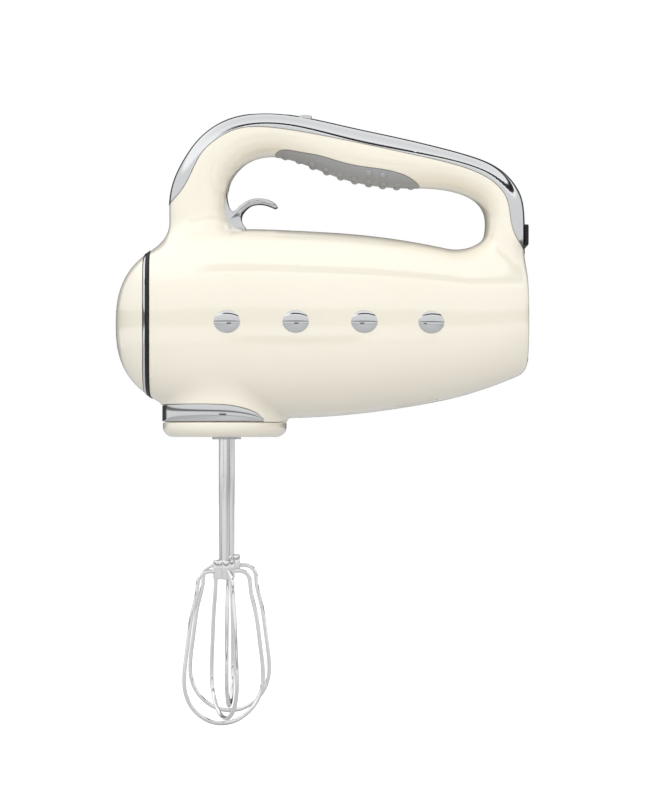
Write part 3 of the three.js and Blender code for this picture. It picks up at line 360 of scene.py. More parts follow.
def prism(
    name: str, outline: Iterable, axis: Axis, low: float, high: float, edge: float = 0.0
) -> bpy.types.Object:
    """A flat shape drawn along an axis, with round edges if asked.

    Args:
        name: the object's name.
        outline: points in the two other axes, in the order X, Y, Z.
        axis: the axis it is drawn along.
        low: where it starts.
        high: where it ends.
        edge: radius of its edges.

    Returns:
        The object.
    """
    flat = np.asarray(list(outline), float)
    x, y = flat.T
    if np.sum(x * np.roll(y, -1) - np.roll(x, -1) * y) < 0:
        flat = flat[::-1]
    layers = [(low, 0.0), (high, 0.0)]
    if edge > 0:
        turns = np.linspace(np.pi / 2, 0, EDGE_STEPS)
        rise = [(edge * (1 - math.sin(t)), edge * (1 - math.cos(t))) for t in turns]
        layers = sorted({(low + up, inset) for up, inset in rise})
        layers += sorted({(high - up, inset) for up, inset in rise})
    rings = []
    for place, inset in layers:
        ring = inset_outline(flat, inset) if inset else flat
        rings.append(np.insert(ring, axis.value, place, axis=1))
    return loft(name, np.array(rings))


def lathe(
    name: str,
    profile: Outline,
    axis: Axis,
    centre: Sequence[float],
    sides: int = 48,
) -> bpy.types.Object:
    """A turned piece.

    Args:
        name: the object's name.
        profile: radius and place along the axis; it starts and ends on the axis or closes.
        axis: the axis it is turned about.
        centre: the axis's place in the two other directions.
        sides: facets round it.

    Returns:
        The object.
    """
    rings = []
    for radius, place in profile:
        ring = squared_oval(sides, radius, radius, 2) + centre
        rings.append(np.insert(ring, axis.value, place, axis=1))
    closed = profile[0][0] > 0
    rings = np.array(rings)
    faces = skin_faces(len(rings), sides, along=closed)
    return make_object(name, rings.reshape(-1, 3), faces)


# the most of a side that one fillet takes up
FILLET_SHARE = 0.45


def fillet_profile(points: Outline, radius: float, steps: int = 5) -> list[tuple[float, float]]:
    """A profile whose inner corners are rounded.

    Args:
        points: the profile's corners.
        radius: the largest corner radius.
        steps: segments in each corner.

    Returns:
        The rounded profile, with its two end points as they were.
    """
    corners = np.array(points, float)
    result = [tuple(corners[0])]
    for before, corner, after in zip(corners, corners[1:], corners[2:]):
        back, ahead = before - corner, after - corner
        room = min(np.linalg.norm(back), np.linalg.norm(ahead))
        reach = min(radius, room * FILLET_SHARE)
        start = corner + back / np.linalg.norm(back) * reach
        end = corner + ahead / np.linalg.norm(ahead) * reach
        for t in np.linspace(0, 1, steps + 1):
            result.append(tuple((1 - t) ** 2 * start + 2 * t * (1 - t) * corner + t**2 * end))
    result.append(tuple(corners[-1]))
    return result


def freeze(piece: bpy.types.Object) -> bpy.types.Object:
    """Turns a piece's live modifiers into its plain mesh.

    Args:
        piece: the object.

    Returns:
        The same object, with no modifiers.
    """
    bpy.context.view_layer.update()
    ready = piece.evaluated_get(bpy.context.evaluated_depsgraph_get())
    mesh = bpy.data.meshes.new_from_object(ready)
    piece.modifiers.clear()
    piece.data = mesh
    mesh.name = piece.name
    return piece


def carve(piece: bpy.types.Object, how: Cut, *tools: bpy.types.Object) -> bpy.types.Object:
    """Cuts a piece with closed tools, which are used up.

    Args:
        piece: the object that is cut.
        how: what is kept.
        tools: the cutting objects.

    Returns:
        The same object.
    """
    for tool in tools:
        modifier = piece.modifiers.new("cut", "BOOLEAN")
        modifier.solver = "MANIFOLD"
        modifier.operation = how.value
        modifier.object = tool
        freeze(piece)
        bpy.data.objects.remove(tool)
    return piece


def bar(
    name: str,
    axis: Axis,
    radius: float,
    low: float,
    high: float,
    centre: Sequence[float],
    sides: int = 48,
) -> bpy.types.Object:
    """A plain round cutting tool.

    Args:
        name: the object's name.
        axis: its axis.
        radius: its radius.
        low: where it starts.
        high: where it ends.
        centre: the axis's place in the two other directions.
        sides: facets round it.

    Returns:
        The object.
    """
    return prism(name, squared_oval(sides, radius, radius, 2) + centre, axis, low, high)


def block(name: str, low: Sequence[float], high: Sequence[float]) -> bpy.types.Object:
    """A plain box as a cutting tool.

    Args:
        name: the object's name.
        low: its low corner.
        high: its high corner.

    Returns:
        The object.
    """
    outline = [(low[0], low[1]), (high[0], low[1]), (high[0], high[1]), (low[0], high[1])]
    return prism(name, outline, Axis.Z, low[2], high[2])


# ---------------------------------------------------------------- surface of a field


def gradient(form: Field, points: Array, step: float = 0.02) -> Array:
    """The slope of a field at points.

    Args:
        form: the field.
        points: rows of X, Y and Z.
        step: half of the distance that the slope is measured over.

    Returns:
        One slope vector for each point.
    """
    columns = []
    for axis in range(3):
        move = np.zeros(3)
        move[axis] = step
        ahead, behind = form(*(points + move).T), form(*(points - move).T)
        columns.append((ahead - behind) / (2 * step))
    return np.stack(columns, axis=1)


def settle_on(form: Field, points: Array, reach: float, rounds: int = 3) -> Array:
    """Moves points onto the surface where a field is nought.

    Args:
        form: the field.
        points: rows near the surface.
        reach: the farthest a point moves in a round.
        rounds: number of Newton steps.

    Returns:
        The moved points.
    """
    for _ in range(rounds):
        slope = gradient(form, points)
        square = np.maximum((slope**2).sum(axis=1), 1e-9)
        move = -slope * (form(*points.T) / square)[:, None]
        length = np.linalg.norm(move, axis=1, keepdims=True)
        points = points + move * np.minimum(1, reach / np.maximum(length, 1e-9))
    return points


def surface_net(form: Field, low: Sequence[float], high: Sequence[float], cell: float) -> tuple:
    """A closed mesh on the surface where a field is nought.

    Args:
        form: the field, negative inside.
        low: low corner of the space that holds it.
        high: high corner.
        cell: size of a grid cell.

    Returns:
        The points and the quads, facing outwards.
    """
    counts = [int(math.ceil((b - a) / cell)) + 1 for a, b in zip(low, high)]
    xs, ys, zs = (a + cell * np.arange(n) for a, n in zip(low, counts))
    values = form(xs[:, None, None], ys[None, :, None], zs[None, None, :])
    inside = values < 0
    nx, ny, nz = (n - 1 for n in counts)
    corners = [(i, j, k) for i in (0, 1) for j in (0, 1) for k in (0, 1)]
    filled = sum(inside[i : nx + i, j : ny + j, k : nz + k].astype(np.int8) for i, j, k in corners)
    mixed = (filled > 0) & (filled < 8)
    number = np.full(mixed.shape, -1)
    number[mixed] = np.arange(mixed.sum())
    cells = np.argwhere(mixed)
    total = np.zeros((len(cells), 3))
    crossings = np.zeros(len(cells))
    quads = []
    for axis in range(3):
        unit = np.eye(3, dtype=int)[axis]
        first, second = (a for a in range(3) if a != axis)
        for i, j in ((0, 0), (0, 1), (1, 0), (1, 1)):
            start = np.zeros(3, int)
            start[first], start[second] = i, j
            a, b = cells + start, cells + start + unit
            va, vb = values[tuple(a.T)], values[tuple(b.T)]
            crosses = (va < 0) != (vb < 0)
            share = np.where(crosses, va / np.where(crosses, va - vb, 1), 0)
            total += crosses[:, None] * (start + share[:, None] * unit)
            crossings += crosses
        lower = inside[tuple(slice(0, -1) if d == axis else slice(1, -1) for d in range(3))]
        upper = inside[tuple(slice(1, None) if d == axis else slice(1, -1) for d in range(3))]
        edges = np.argwhere(lower != upper)
        goes_out = lower[tuple(edges.T)]
        edges[:, first] += 1
        edges[:, second] += 1
        step_a, step_b = np.eye(3, dtype=int)[first], np.eye(3, dtype=int)[second]
        around = [edges, edges - step_a, edges - step_a - step_b, edges - step_b]
        quad = np.stack([number[tuple(e.T)] for e in around], axis=1)
        turned = goes_out if axis != 1 else ~goes_out
        quads.append(np.where(turned[:, None], quad, quad[:, ::-1]))
    points = (cells + total / crossings[:, None]) * cell + np.array(low)
    return settle_on(form, points, cell), np.concatenate(quads)


def read_rows(items: bpy.types.bpy_prop_collection, name: str) -> Array:
    """A vector of every vertex or face of a mesh.

    Args:
        items: the mesh's vertices or faces.
        name: the vector's name.

    Returns:
        One row for each of them.
    """
    rows = np.zeros(len(items) * 3)
    items.foreach_get(name, rows)
    return rows.reshape(-1, 3)


# how near a face's middle is to a field that it lies on, and how like its normal is
NEAR_FIELD = 0.08
LIKE_FIELD = 0.85


def shade_by_field(piece: bpy.types.Object, *forms: Field) -> bpy.types.Object:
    """Gives a piece the true normals of the fields that its faces lie on, and flat ones elsewhere.

    Args:
        piece: a finished mesh.
        forms: the fields.

    Returns:
        The same object.
    """
    mesh = piece.data
    points = read_rows(mesh.vertices, "co") / MM
    centres = read_rows(mesh.polygons, "center") / MM
    flat = read_rows(mesh.polygons, "normal")
    corner_count = np.zeros(len(mesh.polygons), int)
    mesh.polygons.foreach_get("loop_total", corner_count)
    owner = np.repeat(np.arange(len(corner_count)), corner_count)
    vertex = np.zeros(len(mesh.loops), int)
    mesh.loops.foreach_get("vertex_index", vertex)
    normals = flat[owner]
    for form in forms:
        off = np.abs(form(*centres.T))
        slope = unit_rows(gradient(form, points))
        agree = (slope[vertex] * flat[owner]).sum(axis=1)
        on_form = (off[owner] < NEAR_FIELD) & (np.abs(agree) > LIKE_FIELD)
        normals[on_form] = slope[vertex[on_form]] * np.sign(agree[on_form])[:, None]
    mesh.shade_smooth()
    mesh.normals_split_custom_set(normals.tolist())
    return piece


# ---------------------------------------------------------------- shader groups


class NodeGroup:
    """A node group that is built once and placed wherever it is needed."""

    def __init__(self, name: str, kind: str) -> None:
        """Makes an empty group.

        Args:
            name: the group's name.
            kind: ShaderNodeTree or GeometryNodeTree.
        """
        self.tree = bpy.data.node_groups.new(name, kind)
        self.source: bpy.types.Node | None = None
        self.result: bpy.types.Node | None = None

    def socket(self, name: str, kind: str, default: float | None = None, out: bool = False) -> None:
        """Adds a named input or output.

        Args:
            name: the socket's name.
            kind: its socket type, without the NodeSocket in front.
            default: its value.
            out: whether it is an output.
        """
        side = "OUTPUT" if out else "INPUT"
        made = self.tree.interface.new_socket(name, in_out=side, socket_type=f"NodeSocket{kind}")
        if default is not None:
            made.default_value = default

    def ends(self) -> None:
        """Adds the group's input and output nodes, once every socket is named."""
        self.source = self.tree.nodes.new("NodeGroupInput")
        self.result = self.tree.nodes.new("NodeGroupOutput")

    def node(self, kind: str, links: dict | None = None, **settings: object) -> bpy.types.Node:
        """Adds a node.

        Args:
            kind: its type.
            links: what goes into each of its inputs, a socket or a value.
            settings: its properties.

        Returns:
            The node.
        """
        return add_node(self.tree, kind, links, **settings)


def add_node(
    tree: bpy.types.NodeTree, kind: str, links: dict | None = None, **settings: object
) -> bpy.types.Node:
    """Adds a node to a tree.

    Args:
        tree: the node tree.
        kind: the node's type.
        links: what goes into each input, by name or number: a socket or a value.
        settings: the node's properties.

    Returns:
        The node.
    """
    made = tree.nodes.new(kind)
    for name, value in settings.items():
        setattr(made, name, value)
    for key, value in (links or {}).items():
        if isinstance(value, bpy.types.NodeSocket):
            tree.links.new(value, made.inputs[key])
        else:
            made.inputs[key].default_value = value
    return made


def tone_group() -> bpy.types.NodeTree:
    """Cloudy change of a colour and of a roughness over a surface.

    Returns:
        The group's tree.
    """
    group = NodeGroup("cloudy_tone", "ShaderNodeTree")
    group.socket("Color", "Color", (0.8, 0.8, 0.8, 1))
    group.socket("Shade", "Color", (0.7, 0.7, 0.7, 1))
    group.socket("Scale", "Float", 60)
    group.socket("Amount", "Float", 0.1)
    group.socket("Rough Low", "Float", 0.2)
    group.socket("Rough High", "Float", 0.3)
    group.socket("Color", "Color", out=True)
    group.socket("Roughness", "Float", out=True)
    group.ends()
    place = group.node("ShaderNodeTexCoord").outputs["Object"]
    given = group.source.outputs
    cloud = group.node(
        "ShaderNodeTexNoise", {"Vector": place, "Scale": given["Scale"], "Detail": 4.0}
    )
    share = group.node(
        "ShaderNodeMath", {0: cloud.outputs["Fac"], 1: given["Amount"]}, operation="MULTIPLY"
    )
    mixed = group.node(
        "ShaderNodeMix",
        {"Factor": share.outputs[0], 6: given["Color"], 7: given["Shade"]},
        data_type="RGBA",
    )
    spread = group.node(
        "ShaderNodeMapRange",
        {"Value": cloud.outputs["Fac"], 1: 0.3, 2: 0.7, 3: given["Rough Low"], 4: given["Rough High"]},
    )
    group.tree.links.new(mixed.outputs[2], group.result.inputs["Color"])
    group.tree.links.new(spread.outputs[0], group.result.inputs["Roughness"])
    return group.tree


def grain_group() -> bpy.types.NodeTree:
    """Fine moulded or cast grain, as a height.

    Returns:
        The group's tree.
    """
    group = NodeGroup("fine_grain", "ShaderNodeTree")
    group.socket("Scale", "Float", 900)
    group.socket("Pits", "Float", 0.3)
    group.socket("Height", "Float", out=True)
    group.ends()
    place = group.node("ShaderNodeTexCoord").outputs["Object"]
    given = group.source.outputs
    grain = group.node(
        "ShaderNodeTexNoise", {"Vector": place, "Scale": given["Scale"], "Detail": 3.0}
    )
    cells = group.node("ShaderNodeTexVoronoi", {"Vector": place, "Scale": given["Scale"]})
    pits = group.node(
        "ShaderNodeMath", {0: cells.outputs["Distance"], 1: given["Pits"]}, operation="MULTIPLY"
    )
    height = group.node("ShaderNodeMath", {0: grain.outputs["Fac"], 1: pits.outputs[0]})
    group.tree.links.new(height.outputs[0], group.result.inputs["Height"])
    return group.tree


def brushed_group() -> bpy.types.NodeTree:
    """Fine lines left by polishing or drawing, along a chosen axis.

    Returns:
        The group's tree.
    """
    group = NodeGroup("polishing_lines", "ShaderNodeTree")
    group.socket("Stretch", "Vector", (40, 40, 2500))
    group.socket("Low", "Float", 0.1)
    group.socket("High", "Float", 0.2)
    group.socket("Roughness", "Float", out=True)
    group.socket("Height", "Float", out=True)
    group.ends()
    place = group.node("ShaderNodeTexCoord").outputs["Object"]
    given = group.source.outputs
    drawn = group.node(
        "ShaderNodeVectorMath", {0: place, 1: given["Stretch"]}, operation="MULTIPLY"
    )
    lines = group.node(
        "ShaderNodeTexNoise", {"Vector": drawn.outputs[0], "Scale": 1.0, "Detail": 2.0}
    )
    spread = group.node(
        "ShaderNodeMapRange",
        {"Value": lines.outputs["Fac"], 1: 0.3, 2: 0.7, 3: given["Low"], 4: given["High"]},
    )
    group.tree.links.new(spread.outputs[0], group.result.inputs["Roughness"])
    group.tree.links.new(lines.outputs["Fac"], group.result.inputs["Height"])
    return group.tree


class Workshop:
    """The shader groups and materials that are made once and shared."""

    groups: dict[str, bpy.types.NodeTree] = {}
    materials: dict[str, bpy.types.Material] = {}

    @classmethod
    def group(cls, name: str, maker: Callable[[], bpy.types.NodeTree]) -> bpy.types.NodeTree:
        """The shared group of a name, made when it is first asked for.

        Args:
            name: the group's name.
            maker: the function that makes it.

        Returns:
            The group's tree.
        """
        if name not in cls.groups:
            cls.groups[name] = maker()
        return cls.groups[name]


# ---------------------------------------------------------------- finishes

Colour = tuple[float, float, float]


def linear(red: int, green: int, blue: int) -> Colour:
    """A screen colour as a linear one."""
    share = [value / 255 for value in (red, green, blue)]
    return tuple(s / 12.92 if s <= 0.04045 else ((s + 0.055) / 1.055) ** 2.4 for s in share)


@dataclass(frozen=True)
class Finish:
    """A moulded, rubbery or painted finish, and the base of the metal ones."""

    name: str
    slot: str
    colour: Colour
    shade: Colour
    rough: tuple[float, float] = (0.3, 0.4)
    cloud_scale: float = 60.0
    cloud_amount: float = 0.3
    metallic: float = 0.0
    coat: float = 0.0
    coat_rough: float = 0.03
    coat_ior: float = 1.5
    grain_scale: float = 900.0
    grain_pits: float = 0.3
    grain_depth: float = 0.02
    specular: float = 0.5

    def material(self) -> bpy.types.Material:
        """The finish's material, made when it is first asked for.

        Returns:
            The material.
        """
        if self.name not in Workshop.materials:
            made = bpy.data.materials.new(self.name)
            made.use_nodes = True
            made.diffuse_color = (*self.colour, 1)
            self.build(made.node_tree)
            Workshop.materials[self.name] = made
        return Workshop.materials[self.name]

    def build(self, tree: bpy.types.NodeTree) -> bpy.types.Node:
        """Fills the material's node tree.

        Args:
            tree: the material's nodes.

        Returns:
            The Principled shader.
        """
        shader = tree.nodes["Principled BSDF"]
        shader.inputs["Metallic"].default_value = self.metallic
        shader.inputs["Coat Weight"].default_value = self.coat
        shader.inputs["Coat Roughness"].default_value = self.coat_rough
        shader.inputs["Coat IOR"].default_value = self.coat_ior
        shader.inputs["Specular IOR Level"].default_value = self.specular
        tone = add_node(tree, "ShaderNodeGroup")
        tone.node_tree = Workshop.group("tone", tone_group)
        tone.inputs["Color"].default_value = (*self.colour, 1)
        tone.inputs["Shade"].default_value = (*self.shade, 1)
        tone.inputs["Scale"].default_value = self.cloud_scale
        tone.inputs["Amount"].default_value = self.cloud_amount
        tone.inputs["Rough Low"].default_value = self.rough[0]
        tone.inputs["Rough High"].default_value = self.rough[1]
        tree.links.new(tone.outputs["Color"], shader.inputs["Base Color"])
        tree.links.new(tone.outputs["Roughness"], shader.inputs["Roughness"])
        tree.links.new(self.bump(tree, self.height(tree)), shader.inputs["Normal"])
        return shader

    def height(self, tree: bpy.types.NodeTree) -> bpy.types.NodeSocket:
        """The surface's fine height.

        Args:
            tree: the material's nodes.

        Returns:
            The socket that gives it.
        """
        grain = add_node(tree, "ShaderNodeGroup")
        grain.node_tree = Workshop.group("grain", grain_group)
        grain.inputs["Scale"].default_value = self.grain_scale
        grain.inputs["Pits"].default_value = self.grain_pits
        return grain.outputs["Height"]

    def bump(self, tree: bpy.types.NodeTree, height: bpy.types.NodeSocket) -> bpy.types.NodeSocket:
        """The normal that a height gives.

        Args:
            tree: the material's nodes.
            height: the socket with the height.

        Returns:
            The socket with the normal.
        """
        made = add_node(tree, "ShaderNodeBump", {"Strength": 1.0, "Height": height})
        made.inputs["Distance"].default_value = self.grain_depth * MM
        return made.outputs["Normal"]


@dataclass(frozen=True)
class DrawnMetal(Finish):
    """A metal with polishing lines along or round it; where asked, its colour is darkened along them
    as painted reflection streaks.
    """

    stretch: tuple[float, float, float] = (40, 40, 2500)
    painted_reflection_streak: float = 0.0
    painted_reflection_streak_range: tuple[float, float] = (0.38, 0.6)

    def build(self, tree: bpy.types.NodeTree) -> bpy.types.Node:
        """Fills the node tree, takes the roughness from the lines and darkens the colour along them as
        painted reflection streaks.

        Args:
            tree: the material's nodes.

        Returns:
            The Principled shader.
        """
        shader = super().build(tree)
        lines = self.lines(tree)
        tree.links.new(lines.outputs["Roughness"], shader.inputs["Roughness"])
        # painted reflection: darkening the colour along the lines stands in for the shaft's lengthwise
        # reflection streaks
        if self.painted_reflection_streak:
            colour = shader.inputs["Base Color"].links[0].from_socket
            low, high = self.painted_reflection_streak_range
            span = {"Value": lines.outputs["Height"], 1: low, 2: high, 3: 1 - self.painted_reflection_streak, 4: 1.0}
            share = add_node(tree, "ShaderNodeMapRange", span)
            tone = add_node(
                tree, "ShaderNodeVectorMath", {0: colour, "Scale": share.outputs[0]}, operation="SCALE"
            )
            tree.links.new(tone.outputs[0], shader.inputs["Base Color"])
        return shader

    def lines(self, tree: bpy.types.NodeTree) -> bpy.types.Node:
        """The group of polishing lines.

        Args:
            tree: the material's nodes.

        Returns:
            Its node.
        """
        lines = add_node(tree, "ShaderNodeGroup")
        lines.node_tree = Workshop.group("lines", brushed_group)
        lines.inputs["Stretch"].default_value = self.stretch
        lines.inputs["Low"].default_value = self.rough[0]
        lines.inputs["High"].default_value = self.rough[1]
        return lines

    def height(self, tree: bpy.types.NodeTree) -> bpy.types.NodeSocket:
        """The lines' own height."""
        return self.lines(tree).outputs["Height"]


# a wave texture's scale times its pitch
WAVE_SHARE = 0.31


@dataclass(frozen=True)
class Banded(Finish):
    """Wound wire or stacked sheets: round bands across an axis."""

    axis: Axis = Axis.X
    pitch: float = 0.6

    def height(self, tree: bpy.types.NodeTree) -> bpy.types.NodeSocket:
        """The height of the bands.

        Args:
            tree: the material's nodes.

        Returns:
            The socket that gives it.
        """
        place = add_node(tree, "ShaderNodeTexCoord").outputs["Object"]
        scale = WAVE_SHARE / (self.pitch * MM)
        waves = add_node(tree, "ShaderNodeTexWave", {"Vector": place, "Scale": scale})
        waves.bands_direction = self.axis.name
        return waves.outputs["Fac"]


@dataclass(frozen=True)
class Printed(Finish):
    """A circuit board with copper tracks under its lacquer."""

    track: Colour = (0.25, 0.3, 0.05)
    brick_scale: float = 260.0
    track_width: float = 0.05

    def build(self, tree: bpy.types.NodeTree) -> bpy.types.Node:
        """Fills the node tree and prints the tracks.

        Args:
            tree: the material's nodes.

        Returns:
            The Principled shader.
        """
        shader = super().build(tree)
        place = add_node(tree, "ShaderNodeTexCoord").outputs["Object"]
        tracks = add_node(
            tree,
            "ShaderNodeTexBrick",
            {
                "Vector": place,
                "Scale": self.brick_scale,
                "Mortar Size": self.track_width,
                "Color1": (*self.colour, 1),
                "Color2": (*self.shade, 1),
                "Mortar": (*self.track, 1),
            },
        )
        tree.links.new(tracks.outputs["Color"], shader.inputs["Base Color"])
        return shader


CREAM = Finish(
    "cream_gloss", "cream_plastic", linear(246, 240, 224), linear(241, 233, 215),
    rough=(0.30, 0.36), cloud_scale=18, cloud_amount=0.5, coat=1.0, coat_rough=0.03, coat_ior=1.8,
    grain_scale=1500, grain_pits=0.1, grain_depth=0.004,
)
CHROME = Finish(
    "bright_chrome", "chrome", (0.69, 0.70, 0.71), (0.65, 0.66, 0.67),
    rough=(0.05, 0.09), cloud_scale=30, cloud_amount=0.4, metallic=1.0,
    grain_scale=700, grain_pits=0.2, grain_depth=0.0008,
)
GREY_RUBBER = Finish(
    "grey_rubber", "grey_rubber", linear(166, 167, 169), linear(146, 147, 149),
    rough=(0.55, 0.7), cloud_scale=120, cloud_amount=0.5, grain_scale=2200,
    grain_pits=0.6, grain_depth=0.03,
)
# black rubber for the heel feet; on the nose it paints the dark reflection behind the chrome ring
BLACK_RUBBER_AND_DARK_REFLECTION = Finish(
    "black_rubber", "black_rubber", linear(12, 12, 13), linear(22, 22, 23),
    rough=(0.5, 0.65), cloud_scale=90, grain_scale=1800, grain_depth=0.02,
)
STAINLESS = DrawnMetal(
    "polished_stainless", "stainless", (0.93, 0.93, 0.94), (0.86, 0.86, 0.87),
    rough=(0.07, 0.14), metallic=1.0, grain_depth=0.0006, stretch=(60, 60, 2600),
)
# drawn stainless for the shafts, with painted reflection streaks in its colour
DRAWN_STAINLESS = DrawnMetal(
    "drawn_stainless", "stainless", (0.94, 0.94, 0.95), (0.88, 0.88, 0.89),
    rough=(0.07, 0.14), metallic=1.0, grain_depth=0.0006, stretch=(620, 620, 9), painted_reflection_streak=0.55,
)
STEEL = DrawnMetal(
    "ground_steel", "steel", (0.55, 0.56, 0.58), (0.45, 0.46, 0.48),
    rough=(0.22, 0.36), metallic=1.0, grain_depth=0.003, stretch=(1800, 60, 60),
)
ZINC = Finish(
    "cast_zinc", "zinc", (0.36, 0.37, 0.39), (0.28, 0.29, 0.31),
    rough=(0.42, 0.58), cloud_scale=140, metallic=1.0, grain_scale=700, grain_depth=0.05,
)
BRONZE = Finish(
    "sintered_bronze", "bronze", (0.42, 0.25, 0.10), (0.30, 0.17, 0.07),
    rough=(0.35, 0.5), cloud_scale=300, cloud_amount=0.7, metallic=1.0, grain_scale=1600,
    grain_pits=0.8, grain_depth=0.03,
)
COPPER = Banded(
    "wound_copper", "copper", (0.55, 0.19, 0.07), (0.40, 0.12, 0.04),
    rough=(0.22, 0.34), metallic=1.0, grain_depth=0.12, axis=Axis.Z, pitch=0.5,
)
LAMINATION = Banded(
    "stacked_laminations", "lamination", (0.24, 0.25, 0.27), (0.16, 0.16, 0.18),
    rough=(0.4, 0.6), metallic=1.0, grain_depth=0.08, axis=Axis.X, pitch=0.5,
)
CARBON = Finish(
    "pressed_carbon", "carbon", (0.02, 0.02, 0.022), (0.035, 0.035, 0.035),
    rough=(0.5, 0.7), cloud_scale=400, grain_scale=2500, grain_depth=0.02,
)
NYLON = Finish(
    "white_nylon", "nylon", linear(232, 229, 218), linear(215, 211, 198),
    rough=(0.38, 0.5), cloud_scale=80, grain_scale=1200, grain_depth=0.01,
)
BLACK_PLASTIC = Finish(
    "black_plastic", "black_plastic", linear(34, 35, 37), linear(48, 49, 51),
    rough=(0.35, 0.5), cloud_scale=100, grain_scale=1400, grain_depth=0.02,
)
CIRCUIT_BOARD = Printed(
    "circuit_board", "circuit_board", linear(24, 84, 52), linear(18, 66, 42),
    rough=(0.25, 0.4), grain_scale=900, grain_depth=0.02,
)
SMOKED_LENS = Finish(
    "smoked_lens", "smoked_lens", linear(18, 20, 23), linear(26, 28, 32),
    rough=(0.05, 0.08), cloud_scale=25, coat=1.0, grain_depth=0.001,
)


# ---------------------------------------------------------------- casing form


# the least slope that a field is divided by, so that it stays finite in the middle of a shape
LEAST_SLOPE = 1 / 60
# samples along the body and along the handle, and how many places are worked out at a time
BODY_SAMPLES = 2400
HANDLE_SAMPLES = 170
BATCH = 20000


